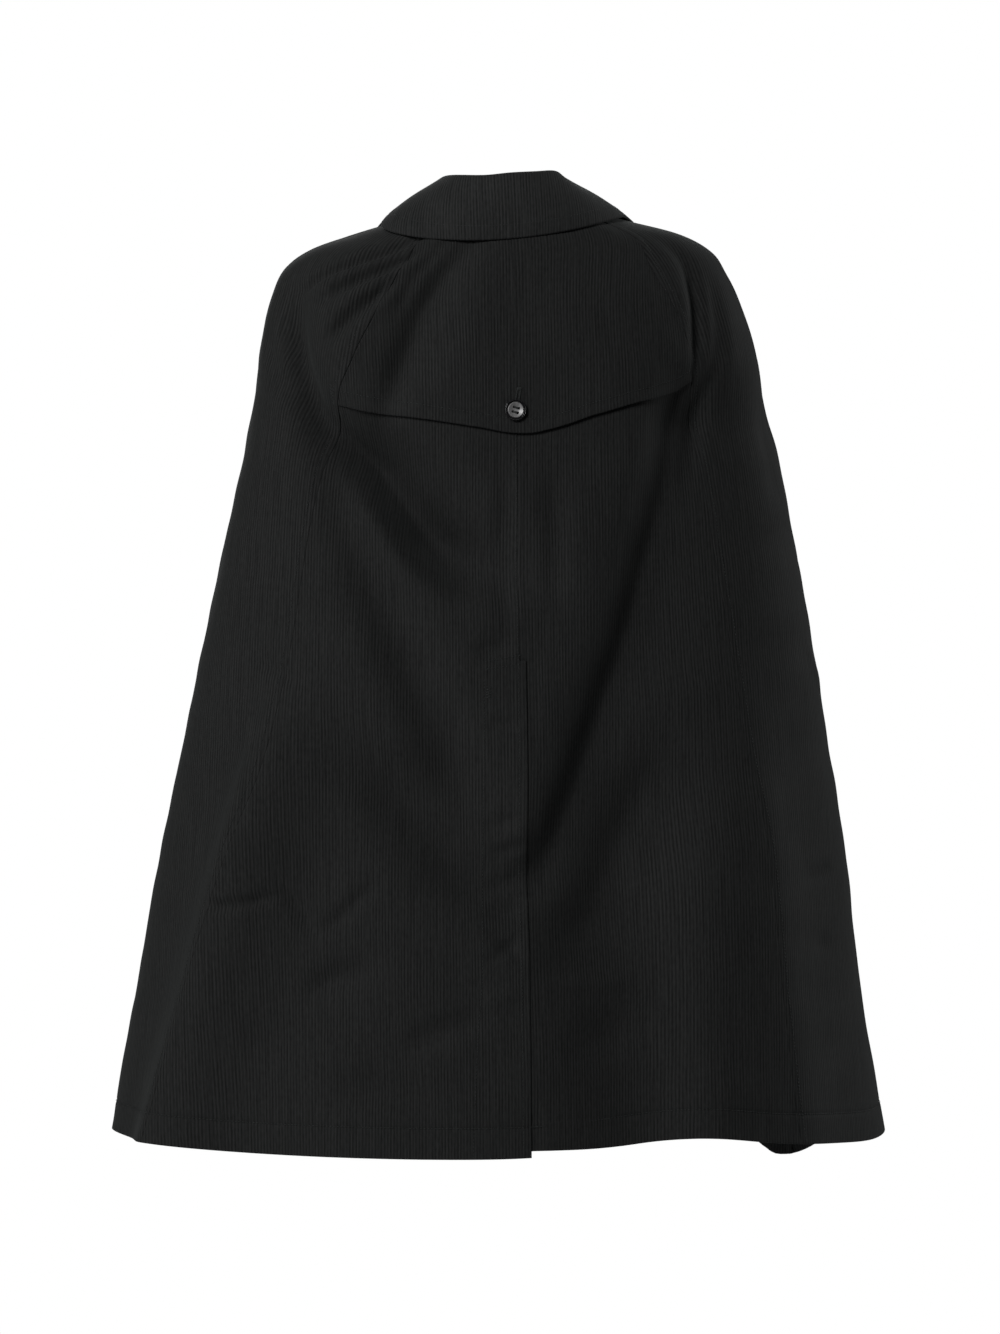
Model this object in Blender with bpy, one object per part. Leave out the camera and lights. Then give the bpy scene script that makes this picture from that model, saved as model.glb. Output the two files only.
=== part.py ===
"""Raglan cape with a turned-down collar, a buttoned storm flap and a back vent, filled out as if worn.

The front faces -Y, the wearer's left is +X and +Z is up. The origin lies on the body's axis, level with
the neck seam. Sizes are millimetres and become metres when a mesh is made.
"""

import math
from collections import namedtuple

import bmesh
import bpy
import numpy as np
from mathutils import Matrix, Vector

MM = 0.001

# Cloth walls and the gaps between them
CLOTH = 1.6
COLLAR_CLOTH = 2.4
SEAM_GAP = 0.3
LAP_GAP = 0.9
NECK_GAP = 1.4
HEM_DEPTH = 27.0
HEM_TURN = 1.0

# Spacing of the sections and columns that the walls are lofted through
ROW_STEP = 28.0
CLOSEST_ROWS = 9.0

# Back vent: the left back laps over the right one
VENT_TOP = -426.0
VENT_OVER = 6.0
VENT_UNDER = 32.0
VENT_RAMP = 24.0
VENT_HEM_LIFT = 6.0
VENT_HEM_LIFT_REACH = 110.0

# Front: the right front laps over the left one, half of the lap each side of the centre
FRONT_LAP = 30.0
FRONT_RAMP = 26.0

# Storm flap and its button
FLAP_STAND_OFF = 5.0
FLAP_SIDE_INSET = 2.0
FLAP_ROWS = 16
FLAP_COLUMNS = 25
BUTTON_HEIGHT = -196.0
BUTTON_RADIUS = 10.0
BUTTON_THICK = 3.4
BUTTON_RIM = 2.2
BUTTON_DISH = 1.0
BUTTON_HOLE_RADIUS = 1.1
BUTTON_HOLE_OFFSET = 2.2

# Collar: a stand sewn to the neck and a fall that turns over it
STAND_SEAM_BELOW_FOLD = 9.0
FOLD_RADIUS = 3.4
FALL_CLEARANCE = 5.4
FALL_BOW = 1.0
COLLAR_END_AT_NECK = 173.0
COLLAR_END_AT_EDGE = 155.0
COLLAR_COLUMNS = 44

CLOTH_COLOUR = (0.014, 0.015, 0.015, 1.0)
BUTTON_COLOUR = (0.02, 0.02, 0.021, 1.0)

# Level sections from the neck seam to the hem. Height is at the sides; the back lifts from it and the
# front drops from it. Left, right, back and front are distances from the axis. Squareness 2 is an ellipse.
Section = namedtuple("Section", "height left right back front back_lift front_drop squareness")
SECTIONS = [
    Section(4, 70, 70, 60, 76, -8, 62, 2.0),
    Section(-9, 104, 120, 74, 90, -14, 62, 2.1),
    Section(-22, 141, 168, 86, 100, -22, 64, 2.2),
    Section(-38, 184, 198, 97, 109, -32, 68, 2.3),
    Section(-58, 210, 211, 106, 117, -40, 72, 2.4),
    Section(-85, 222, 224, 112, 123, -46, 74, 2.4),
    Section(-122, 231, 237, 116, 128, -48, 70, 2.4),
    Section(-170, 237, 248, 120, 132, -44, 62, 2.35),
    Section(-236, 248, 264, 125, 137, -36, 50, 2.3),
    Section(-312, 265, 278, 131, 143, -28, 38, 2.2),
    Section(-400, 284, 293, 140, 152, -20, 26, 2.15),
    Section(-500, 307, 309, 152, 163, -13, 16, 2.1),
    Section(-610, 330, 328, 165, 175, -7, 8, 2.05),
    Section(-740, 353, 343, 179, 187, -4, 3, 2.0),
    Section(-870, 375, 364, 192, 197, -8, 0, 2.0),
]
HEM = len(SECTIONS) - 1

# Seams between the panels, as turns in degrees from the centre back, positive to the wearer's left
Seam = namedtuple("Seam", "section back_left back_right front_left front_right")
SEAMS = [
    Seam(0.0, 47, -54, 128, -128),
    Seam(1.5, 40, -46, 130, -130),
    Seam(3.0, 33.5, -38.5, 132, -132),
    Seam(4.5, 34.5, -40.5, 134, -134),
    Seam(6.0, 39, -42, 134, -134),
    Seam(7.0, 43.3, -42.8, 134, -134),
    Seam(8.5, 45, -42.5, 133, -133),
    Seam(10.0, 45.5, -42.5, 131, -131),
    Seam(11.2, 46, -42.5, 129, -129),
    Seam(12.2, 51.5, -43, 128, -128),
    Seam(13.0, 56.5, -43.5, 127, -127),
    Seam(14.0, 60.5, -43.5, 126, -126),
]

# Main folds of the hanging cloth: troughs have a positive depth, ridges a negative one. Turns are degrees,
# heights and widths millimetres. Bow bends the line sideways in its middle, fade is the share of the length
# that each end takes, a fold that runs out keeps its depth to the hem, and steep is how much narrower the
# side away from the centre line is.
Fold = namedtuple(
    "Fold",
    "turn_top height_top turn_bottom height_bottom bow width_top width_bottom depth fade runs_out steep",
)
FOLDS = [
    Fold(-41.5, -140, -1.5, -655, 0, 19, 18, 27, 0.13, False, 2.8),
    Fold(-34, -440, -4.5, -745, 0, 25, 31, 30, 0.44, False, 1.5),
    Fold(-20, -590, -19, -880, 0, 50, 54, 20, 0.40, True, 0.55),
    Fold(-28, -380, -27, -880, 0, 34, 40, -12, 0.40, True, 1),
    Fold(-42.5, -400, -44.5, -880, 0, 46, 60, -16, 0.45, True, 0.55),
    Fold(49.5, -168, 6, -388, -3.5, 38, 38, 50, 0.36, False, 0.55),
    Fold(47.5, -205, 21, -390, -3, 14, 20, -8, 0.40, False, 1),
    Fold(73, -20, 5, -600, -5.5, 17, 22, 15, 0.15, False, 0.9),
    Fold(32, -470, -4, -700, 0, 50, 56, 20, 0.38, False, 0.55),
    Fold(45, -400, 60.5, -880, -1, 33, 44, -29, 0.40, True, 0.38),
    Fold(21, -30, 31, -215, 0, 22, 25, 12, 0.35, False, 1),
    Fold(136, -160, 172, -560, 0, 16, 26, 14, 0.30, False, 1),
    Fold(-138, -165, -172, -600, 0, 16, 26, 16, 0.30, False, 1),
    Fold(143, -340, 147, -880, 0, 26, 40, 20, 0.45, True, 1),
    Fold(-147, -360, -143, -880, 0, 26, 40, 18, 0.45, True, 1),
    Fold(108, -330, 107, -880, 0, 28, 38, 14, 0.45, True, 1),
    Fold(-108, -300, -109, -880, 0, 28, 38, 12, 0.45, True, 1),
]

# Stretches where the hem hangs lower (positive drop) or higher than the level section, with the degrees that
# they take towards the wearer's left and right
HemWave = namedtuple("HemWave", "turn to_left to_right drop")
HEM_WAVES = [
    HemWave(86, 14, 14, -5),
    HemWave(-24, 11, 10, -14),
    HemWave(-70, 12, 12, 6),
    HemWave(-128, 10, 6, 41),
]
HEM_WAVE_SECTIONS = 1.6

# Lower edge of the storm flap
FlapEdge = namedtuple("FlapEdge", "turn height")
FLAP_EDGE = [
    FlapEdge(-50, -160),
    FlapEdge(-43, -164),
    FlapEdge(-38, -173),
    FlapEdge(-30, -183),
    FlapEdge(-16, -200),
    FlapEdge(-6, -214),
    FlapEdge(0, -217),
    FlapEdge(8, -212),
    FlapEdge(20, -204),
    FlapEdge(31, -197),
    FlapEdge(43, -189),
    FlapEdge(54, -186),
]

# Collar by turn from the centre back: the stand's height, how far its fold leans in over the neck, and how
# many sections down the body the fall's edge reaches
CollarStation = namedtuple("CollarStation", "turn stand lean reach")
COLLAR = [
    CollarStation(-180, 20, 2, 3.3),
    CollarStation(-150, 21, 4, 3.1),
    CollarStation(-120, 22, 9, 1.9),
    CollarStation(-90, 22, 17, 0.95),
    CollarStation(-60, 25, 15, 0.95),
    CollarStation(-40, 30, 8, 1.10),
    CollarStation(-20, 30, 4, 1.35),
    CollarStation(0, 29, 3, 1.60),
    CollarStation(20, 26, 4, 1.78),
    CollarStation(40, 25, 8, 1.92),
    CollarStation(60, 24, 12, 1.78),
    CollarStation(90, 22, 13, 1.28),
    CollarStation(120, 22, 9, 2.1),
    CollarStation(150, 21, 4, 3.1),
    CollarStation(180, 20, 2, 3.3),
]


def along_rows(rows, at):
    """Every column of a table at a row number that may lie between rows, on a smooth curve through them."""
    table = np.array(rows, float)
    last = len(table) - 1
    at = np.clip(np.asarray(at, float), 0, last)
    row = np.minimum(at.astype(int), last - 1)
    f = (at - row)[..., None]
    before, start = table[np.maximum(row - 1, 0)], table[row]
    end, after = table[row + 1], table[np.minimum(row + 2, last)]
    bend = 2 * before - 5 * start + 4 * end - after
    twist = 3 * start - before - 3 * end + after
    return start + 0.5 * f * ((end - before) + f * (bend + f * twist))


def ease(x):
    """Soft step from 0 at x = 0 to 1 at x = 1."""
    x = np.clip(x, 0, 1)
    return x * x * (3 - 2 * x)


def normals_of(surface, across, down, step_across=0.004, step_down=0.02):
    """Outward unit normals of a surface of two parameters."""
    a = surface(across + step_across, down) - surface(across - step_across, down)
    b = surface(across, down + step_down) - surface(across, down - step_down)
    n = np.cross(a, b)
    return n / np.linalg.norm(n, axis=-1, keepdims=True)


def near_hem(section):
    """Soft step from 0 well above the hem to 1 at it."""
    return ease((section - HEM + HEM_WAVE_SECTIONS) / HEM_WAVE_SECTIONS)


def hem_drop(turn, section):
    """How much lower than its level section the cloth hangs near the hem."""
    drop = 0.0
    for wave in HEM_WAVES:
        away = np.degrees(np.angle(np.exp(1j * (turn - math.radians(wave.turn)))))
        spread = np.where(away > 0, wave.to_left, wave.to_right)
        drop = drop + wave.drop * np.exp(-0.5 * (away / spread) ** 2)
    return near_hem(section) * drop


def smooth_body(turn, section):
    """The hanging cloth before its folds, at a turn in radians from the centre back and a section number."""
    columns = along_rows(SECTIONS, section)
    height, left, right, back, front, lift, drop, power = np.moveaxis(columns, -1, 0)
    sine, cosine = np.sin(turn), np.cos(turn)
    scale = (np.abs(sine) ** power + np.abs(cosine) ** power) ** (-1 / power)
    x = np.where(sine >= 0, left, right) * scale * sine
    y = np.where(cosine >= 0, back, front) * scale * cosine
    z = height + np.where(cosine >= 0, lift, -drop) * cosine**2 - hem_drop(turn, section)
    return np.stack([x, y, z], axis=-1)


def fold_depth(turn, section):
    """How far the main folds push the cloth in at a point."""
    step = 0.004
    height = smooth_body(turn, section)[..., 2]
    ahead, behind = smooth_body(turn + step, section), smooth_body(turn - step, section)
    per_radian = np.linalg.norm(ahead - behind, axis=-1) / (2 * step)
    depth = np.zeros_like(height)
    for fold in FOLDS:
        share = (fold.height_top - height) / (fold.height_top - fold.height_bottom)
        inside = np.clip(share, 0, 1)
        bow = 4 * fold.bow * inside * (1 - inside)
        centre = np.radians(fold.turn_top + (fold.turn_bottom - fold.turn_top) * inside + bow)
        width = fold.width_top + (fold.width_bottom - fold.width_top) * inside
        across = np.angle(np.exp(1j * (turn - centre))) * per_radian
        width = np.where(across * fold.turn_top > 0, width * fold.steep, width)
        ends = ease(share / fold.fade)
        if not fold.runs_out:
            ends = ends * ease((1 - share) / fold.fade)
        depth += fold.depth * ends * np.exp(-0.5 * (across / width) ** 2)
    return depth


def body(turn, section):
    """Outer face of the hanging cloth, folds included."""
    turn, section = np.broadcast_arrays(np.asarray(turn, float), np.clip(section, 0, HEM))
    out = normals_of(smooth_body, turn, section)
    return smooth_body(turn, section) - out * fold_depth(turn, section)[..., None]


def section_at_height(turn, height):
    """Section number where the cloth at a turn has a given height."""
    steps = np.linspace(0, HEM, 281)
    heights = body(np.full_like(steps, turn), steps)[:, 2]
    return float(np.interp(-height, -heights, steps))


def even_sections():
    """Section numbers of the wall's rows: even steps down the side, with extra rows at vent and hem."""
    steps = np.linspace(0, HEM, 561)
    side = smooth_body(np.full_like(steps, math.pi / 2), steps)
    length = np.concatenate([[0], np.cumsum(np.linalg.norm(np.diff(side, axis=0), axis=1))])
    even = np.linspace(0, length[-1], round(length[-1] / ROW_STEP) + 1)
    vent = section_at_height(0.0, VENT_TOP)
    hem_fold = section_at_height(0.0, body(0.0, HEM)[2] + HEM_DEPTH)
    extra = [vent - 0.08, vent, hem_fold, hem_fold + 0.03]
    wanted = np.interp(extra, steps, length)
    kept = [d for d in even if abs(wanted - d).min() > CLOSEST_ROWS or d in (even[0], even[-1])]
    rows = np.sort(np.concatenate([kept, wanted]))
    return np.interp(rows, length, steps), vent, hem_fold


SECTION_ROWS, VENT_SECTION, HEM_FOLD_SECTION = even_sections()


def seam_turns(name, section):
    """A seam's turn in radians at each section."""
    at = np.interp(section, [s.section for s in SEAMS], np.arange(len(SEAMS)))
    column = Seam._fields.index(name)
    return np.radians(along_rows(SEAMS, at)[..., column])


def millimetres_to_turn(distance, section, centre):
    """The turn that takes a distance round the cloth from a centre line."""
    step = 0.01
    a, b = smooth_body(centre + step, section), smooth_body(centre - step, section)
    return distance / (np.linalg.norm(a - b, axis=-1) / (2 * step))


def wall_depth(section):
    """Thickness of the wall: one cloth, and a turned-up second one along the hem."""
    return CLOTH + HEM_TURN * (section > HEM_FOLD_SECTION + 0.01)


def add_object(name, mesh, material, angle=40):
    """A named object from a mesh, shaded smooth up to an angle."""
    mesh.materials.append(material)
    mesh.shade_smooth()
    mesh.set_sharp_from_angle(angle=math.radians(angle))
    thing = bpy.data.objects.new(name, mesh)
    bpy.context.scene.collection.objects.link(thing)
    return thing


def wall_mesh(name, outer, inner, cells=None):
    """Closed wall between two grids of points, over the cells that are there, with a rim round its border.

    The rims on both sides of a seam are split along the same diagonal, so that they stay parallel.
    """
    rows, columns = outer.shape[:2]
    if cells is None:
        cells = np.ones((rows - 1, columns - 1), bool)
    number = np.arange(rows * columns).reshape(rows, columns)
    under = number + rows * columns
    faces = []
    for i, j in zip(*np.nonzero(cells)):
        a, b, c, d = number[i, j], number[i, j + 1], number[i + 1, j + 1], number[i + 1, j]
        faces += [(a, d, c), (a, c, b)]
        a, b, c, d = under[i, j], under[i, j + 1], under[i + 1, j + 1], under[i + 1, j]
        faces += [(a, c, d), (a, b, c)]
        borders = {
            (i - 1, j): (number[i, j], number[i, j + 1]),
            (i, j + 1): (number[i, j + 1], number[i + 1, j + 1]),
            (i + 1, j): (number[i + 1, j + 1], number[i + 1, j]),
            (i, j - 1): (number[i + 1, j], number[i, j]),
        }
        for (r, k), (p, q) in borders.items():
            if not (0 <= r < rows - 1 and 0 <= k < columns - 1 and cells[r, k]):
                below_p, below_q = p + rows * columns, q + rows * columns
                if k < j:
                    faces += [(p, q, below_p), (q, below_q, below_p)]
                else:
                    faces += [(p, q, below_q), (p, below_q, below_p)]
    points = np.concatenate([outer.reshape(-1, 3), inner.reshape(-1, 3)]) * MM
    mesh = bpy.data.meshes.new(name)
    mesh.from_pydata(points.tolist(), [], [tuple(map(int, f)) for f in faces])
    made = bmesh.new()
    made.from_mesh(mesh)
    bmesh.ops.delete(made, geom=[v for v in made.verts if not v.link_faces], context="VERTS")
    bmesh.ops.recalc_face_normals(made, faces=made.faces)
    made.to_mesh(mesh)
    made.free()
    return mesh


def cloth_wall(name, turns, tuck, material, cells=None, lift=0.0):
    """A panel of the body through the section rows, pushed in where it lies under its neighbour."""
    section = np.broadcast_to(SECTION_ROWS[:, None], turns.shape)
    out = normals_of(body, turns, section)
    outer = body(turns, section) - out * tuck[..., None]
    outer[..., 2] += lift
    inner = outer - out * wall_depth(section)[..., None]
    return add_object(name, wall_mesh(name, outer, inner, cells), material)


def spread_columns(start, end, count):
    """Turns from one border to the other, row by row."""
    share = np.linspace(0, 1, count)[None, :]
    return start[:, None] + (end - start)[:, None] * share


def half_gap(section, centre):
    """Turn of half a seam's gap."""
    return millimetres_to_turn(SEAM_GAP / 2, section, centre)


def build_back(material):
    """The two back panels, seamed down the centre to the vent, where the left one laps over the right."""
    rows = SECTION_ROWS
    vented = rows[:-1] >= VENT_SECTION - 1e-6
    tucked_rows = rows >= VENT_SECTION - 1e-6
    gap = half_gap(rows, 0.0)

    lap = [-millimetres_to_turn(VENT_OVER, rows, 0.0)]
    under_lap = [millimetres_to_turn(d, rows, 0.0) for d in (10.0, 21.0, VENT_UNDER)]
    near = [millimetres_to_turn(d, rows, 0.0) for d in (8.0, VENT_RAMP)]

    left_seam = seam_turns("back_left", rows) - half_gap(rows, 0.8)
    inner_columns = [lap[0], gap] + [gap + d for d in under_lap]
    turns = np.concatenate(
        [np.stack(inner_columns, 1), spread_columns(gap + under_lap[-1], left_seam, 11)[:, 1:]], axis=1
    )
    cells = np.ones((len(rows) - 1, turns.shape[1] - 1), bool)
    cells[:, 0] = vented
    cloth_wall("back_left", turns, np.zeros_like(turns), material, cells)

    right_seam = seam_turns("back_right", rows) + half_gap(rows, -0.8)
    main = spread_columns(right_seam, -near[1], 10)
    turns = np.concatenate([main, np.stack([-near[0], -gap] + under_lap, 1)], axis=1)
    distance = turns / millimetres_to_turn(1.0, rows, 0.0)[:, None]
    tuck = (CLOTH + LAP_GAP) * ease((distance + VENT_RAMP) / (VENT_RAMP - 8.0))
    tuck = np.where(tucked_rows[:, None], tuck, 0.0)
    tuck = tuck + HEM_TURN * (tuck > 0) * (rows > HEM_FOLD_SECTION - 0.2)[:, None]
    cells = np.ones((len(rows) - 1, turns.shape[1] - 1), bool)
    cells[:, main.shape[1] + 1 :] = vented[:, None]
    lift = VENT_HEM_LIFT * near_hem(rows)[:, None] * ease(1 + distance / VENT_HEM_LIFT_REACH)
    cloth_wall("back_right", turns, tuck, material, cells, lift)


def build_sides(material):
    """The shoulder panels, cut in one from the neck over the shoulder to the hem."""
    rows = SECTION_ROWS
    for side, sign in (("left", 1), ("right", -1)):
        start = seam_turns("back_" + side, rows) + sign * half_gap(rows, 0.8 * sign)
        end = seam_turns("front_" + side, rows) - sign * half_gap(rows, 2.3 * sign)
        near = [start + sign * millimetres_to_turn(d, rows, 0.8 * sign) for d in (0.0, 7.0, 16.0)]
        turns = np.concatenate([np.stack(near, 1), spread_columns(near[-1], end, 11)[:, 1:]], 1)
        cloth_wall("side_" + side, turns, np.zeros_like(turns), material)


def build_fronts(material):
    """The two fronts, lapped at the centre with the right one outside."""
    rows = SECTION_ROWS
    places = (-FRONT_LAP, -FRONT_LAP / 3, FRONT_LAP / 3, FRONT_LAP)
    lap = [millimetres_to_turn(d, rows, math.pi) for d in places]
    start = seam_turns("front_right", rows) - half_gap(rows, -2.3)
    lapped = np.stack([-math.pi + d for d in lap[2::-1]], 1)
    turns = np.concatenate([spread_columns(start, -math.pi + lap[3], 9), lapped], 1)
    cloth_wall("front_right", turns, np.zeros_like(turns), material)

    ramp = millimetres_to_turn(FRONT_LAP + FRONT_RAMP, rows, math.pi)
    start = seam_turns("front_left", rows) + half_gap(rows, 2.3)
    lapped = np.stack([math.pi + d for d in lap], 1)
    turns = np.concatenate([spread_columns(start, math.pi - ramp, 8), lapped], 1)
    distance = (turns - math.pi) / millimetres_to_turn(1.0, rows, math.pi)[:, None]
    tuck = (CLOTH + LAP_GAP) * ease((distance + FRONT_LAP + FRONT_RAMP) / (FRONT_RAMP - 8.0))
    tuck = tuck + HEM_TURN * (tuck > 0) * (rows > HEM_FOLD_SECTION - 0.2)[:, None]
    cloth_wall("front_left", turns, tuck, material)


def flap_edge_section(turn):
    """Section number of the storm flap's lower edge at each turn."""
    turns = np.radians([e.turn for e in FLAP_EDGE])
    at = np.interp(turn, turns, np.arange(len(FLAP_EDGE)))
    heights = along_rows(FLAP_EDGE, at)[..., 1]
    return np.array([section_at_height(a, h) for a, h in zip(turn, heights)])


def flap_stand_off(share):
    """How far the flap's inner face stands off the back, from its top edge to its loose lower edge."""
    return LAP_GAP + FLAP_STAND_OFF * ease(share) ** 2


def flap_grid():
    """Turns, sections and share of depth over the storm flap, whose sides follow the raglan seams."""
    share = np.linspace(0, 1, FLAP_ROWS)[:, None]
    level = along_rows(SEAMS, np.interp(7.0, [s.section for s in SEAMS], np.arange(len(SEAMS))))
    columns = np.radians(np.linspace(level[2], level[1], FLAP_COLUMNS))
    edge = flap_edge_section(columns)
    section = edge[None, :] * share
    inset = half_gap(section, 0.8) * 2 * FLAP_SIDE_INSET / SEAM_GAP
    left, right = seam_turns("back_left", section) - inset, seam_turns("back_right", section) + inset
    place = (columns - columns[0]) / (columns[-1] - columns[0])
    return right + (left - right) * place[None, :], section, np.broadcast_to(share, section.shape)


def build_flap(material):
    """The storm flap: a loose second layer over the upper back."""
    turns, section, share = flap_grid()
    out = normals_of(body, turns, section)
    inner = body(turns, section) + out * flap_stand_off(share)[..., None]
    return add_object("storm_flap", wall_mesh("storm_flap", inner + out * CLOTH, inner), material)


def turned_mesh(name, profile, steps):
    """A closed solid turned about Z from radius and height pairs that start and end on the axis."""
    made = bmesh.new()
    points = [made.verts.new((r * MM, 0, h * MM)) for r, h in profile]
    edges = [made.edges.new(pair) for pair in zip(points, points[1:])]
    turn = {"cent": (0, 0, 0), "axis": (0, 0, 1), "angle": 2 * math.pi}
    bmesh.ops.spin(made, geom=points + edges, steps=steps, use_duplicate=False, **turn)
    bmesh.ops.remove_doubles(made, verts=made.verts, dist=1e-6)
    bmesh.ops.recalc_face_normals(made, faces=made.faces)
    mesh = bpy.data.meshes.new(name)
    made.to_mesh(mesh)
    made.free()
    return mesh


def build_button(material):
    """The four-hole button that closes the storm flap, with a raised rim round a dished middle."""
    section = section_at_height(0.0, BUTTON_HEIGHT)
    edge = float(flap_edge_section(np.array([0.0]))[0])
    here, down = np.array(0.0), np.array(section)
    out = normals_of(body, here, down)
    face = body(here, down) + out * (flap_stand_off(np.array(section / edge)) + CLOTH + LAP_GAP)
    crown = BUTTON_THICK - BUTTON_DISH
    profile = [
        (0, 0),
        (BUTTON_RADIUS - 1.6, 0),
        (BUTTON_RADIUS, 1.3),
        (BUTTON_RADIUS, BUTTON_THICK - 0.8),
        (BUTTON_RADIUS - 0.8, BUTTON_THICK),
        (BUTTON_RADIUS - BUTTON_RIM, BUTTON_THICK),
        (BUTTON_RADIUS - BUTTON_RIM - 1.2, crown),
        (0, crown - 0.3),
    ]
    button = add_object("button", turned_mesh("button", profile, 24), material, 30)
    facing = Vector(out).to_track_quat("Z", "Y").to_matrix().to_4x4()
    button.matrix_world = Matrix.Translation(Vector(face * MM)) @ facing
    hole = bmesh.new()
    radius = BUTTON_HOLE_RADIUS * MM
    for x in (-BUTTON_HOLE_OFFSET, BUTTON_HOLE_OFFSET):
        for y in (-BUTTON_HOLE_OFFSET, BUTTON_HOLE_OFFSET):
            place = Matrix.Translation((x * MM, y * MM, 0))
            size = {"radius1": radius, "radius2": radius, "depth": 4 * BUTTON_THICK * MM}
            bmesh.ops.create_cone(hole, cap_ends=True, segments=8, matrix=place, **size)
    mesh = bpy.data.meshes.new("button_holes")
    hole.to_mesh(mesh)
    hole.free()
    cutter = bpy.data.objects.new("button_holes", mesh)
    bpy.context.scene.collection.objects.link(cutter)
    cutter.matrix_world = button.matrix_world
    cutter.hide_render = True
    cutter.display_type = "WIRE"
    cut = button.modifiers.new("holes", "BOOLEAN")
    cut.operation = "DIFFERENCE"
    cut.solver = "EXACT"
    cut.object = cutter


def collar_station(turn):
    """Stand height, lean and reach of the collar at each turn."""
    turns = np.radians([c.turn for c in COLLAR])
    at = np.interp(turn, turns, np.arange(len(COLLAR)))
    return np.moveaxis(along_rows(COLLAR, at)[..., 1:], -1, 0)


def neck_outward(turn):
    """Level direction away from the neck's axis, square to the neck seam."""
    neck = SECTIONS[0]
    depth = np.where(np.cos(turn) >= 0, neck.back, neck.front)
    out = np.stack([np.sin(turn) / neck.left, np.cos(turn) / depth, np.zeros_like(turn)], axis=-1)
    return out / np.linalg.norm(out, axis=-1, keepdims=True)


def stand_point(turn, climb):
    """Outer face of the stand, a share of the way from the neck seam to the fold."""
    stand, lean, _ = collar_station(turn)
    rise = np.stack([np.zeros_like(turn), np.zeros_like(turn), stand], axis=-1)
    start = smooth_body(turn, np.zeros_like(turn)) + np.array([0, 0, NECK_GAP])
    return start + climb[..., None] * (rise - neck_outward(turn) * lean[..., None])


def collar_columns(climb):
    """Turns of the collar's columns, which end further back towards the fall's edge."""
    end = np.radians(COLLAR_END_AT_NECK + (COLLAR_END_AT_EDGE - COLLAR_END_AT_NECK) * climb)
    return end * np.linspace(-1, 1, COLLAR_COLUMNS + 1)[None, :]


def build_stand(material):
    """The collar stand, from the neck seam to the seam just under the fold."""
    stand = collar_station(collar_columns(np.zeros((1, 1))))[0]
    top = 1 - STAND_SEAM_BELOW_FOLD / stand
    climb = np.linspace(0, 1, 4)[:, None] * top
    turns = np.broadcast_to(collar_columns(np.zeros((1, 1))), climb.shape)
    outer = stand_point(turns, climb)
    inner = outer - neck_outward(turns) * CLOTH
    return add_object("collar_stand", wall_mesh("collar_stand", outer, inner), material)


def fall_middle(turn, along):
    """Middle of the fall's cloth: up from the stand's seam, over the fold and down to its edge."""
    stand, _, reach = collar_station(turn)
    out = neck_outward(turn)
    up = np.array([0.0, 0.0, 1.0])
    below = 1 - (STAND_SEAM_BELOW_FOLD - LAP_GAP) / stand
    foot = stand_point(turn, below) - out * CLOTH / 2
    crest = stand_point(turn, np.ones_like(turn)) - out * CLOTH / 2
    edge = body(turn, reach) + normals_of(body, turn, reach) * FALL_CLEARANCE
    over = crest + out * 2 * FOLD_RADIUS
    rise_share, fold_share = 0.12, 0.30
    rising = foot + (crest - foot) * np.clip(along / rise_share, 0, 1)[..., None]
    swing = np.pi * np.clip((along - rise_share) / (fold_share - rise_share), 0, 1)[..., None]
    turning = crest + out * FOLD_RADIUS * (1 - np.cos(swing)) + up * FOLD_RADIUS * np.sin(swing)
    drop = np.clip((along - fold_share) / (1 - fold_share), 0, 1)[..., None]
    falling = over + (edge - over) * drop + (out + up) * FALL_BOW * np.sin(np.pi * drop) * (1 - 0.4 * drop)
    middle = np.where((along < rise_share)[..., None], rising, turning)
    return np.where((along > fold_share)[..., None], falling, middle)


def build_fall(material):
    """The collar's fall, which turns over the stand and spreads over the shoulders to two points."""
    steps = [[0.0, 0.12], np.linspace(0.165, 0.255, 3), [0.30], np.linspace(0.42, 1, 6)]
    along = np.concatenate(steps)[:, None]
    spread = np.clip((along - 0.3) / 0.7, 0, 1)
    turns = collar_columns(spread)
    along = np.broadcast_to(along, turns.shape)
    middle = fall_middle(turns, along)
    down = np.gradient(middle, axis=0)
    around = np.gradient(middle, axis=1)
    out = np.cross(around, down)
    out = out / np.linalg.norm(out, axis=-1, keepdims=True)
    half = out * COLLAR_CLOTH / 2
    return add_object("collar_fall", wall_mesh("collar_fall", middle + half, middle - half), material)


def finish(name, colour, roughness):
    """A plain material for one kind of piece."""
    material = bpy.data.materials.new(name)
    material.use_nodes = True
    shader = material.node_tree.nodes["Principled BSDF"]
    shader.inputs["Base Color"].default_value = colour
    shader.inputs["Roughness"].default_value = roughness
    shader.inputs["Metallic"].default_value = 0.0
    return material


def main():
    """Clears the scene and builds every piece of the cape."""
    for thing in list(bpy.data.objects):
        bpy.data.objects.remove(thing)
    gabardine = finish("black_gabardine", CLOTH_COLOUR, 0.85)
    horn = finish("black_horn", BUTTON_COLOUR, 0.3)
    build_back(gabardine)
    build_sides(gabardine)
    build_fronts(gabardine)
    build_flap(gabardine)
    build_stand(gabardine)
    build_fall(gabardine)
    build_button(horn)


main()
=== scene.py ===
"""Looks of the black raglan cape: creased cloth panels, storm flap, collar, button, sewing and studio.

Every cloth piece is a thin closed wall on the form of the CAD solid that it replaces. Sizes are millimetres
and become metres when a mesh is made. A turn is an angle round the body from the centre back, positive to
the wearer's left, and a section is a place down the body from 0 at the neck seam to 14 at the hem.
"""

import logging
import math
from collections.abc import Callable, Sequence
from dataclasses import dataclass, field
from enum import Enum
from typing import NamedTuple

import bpy
import numpy as np
from mathutils import Matrix, Vector

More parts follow.
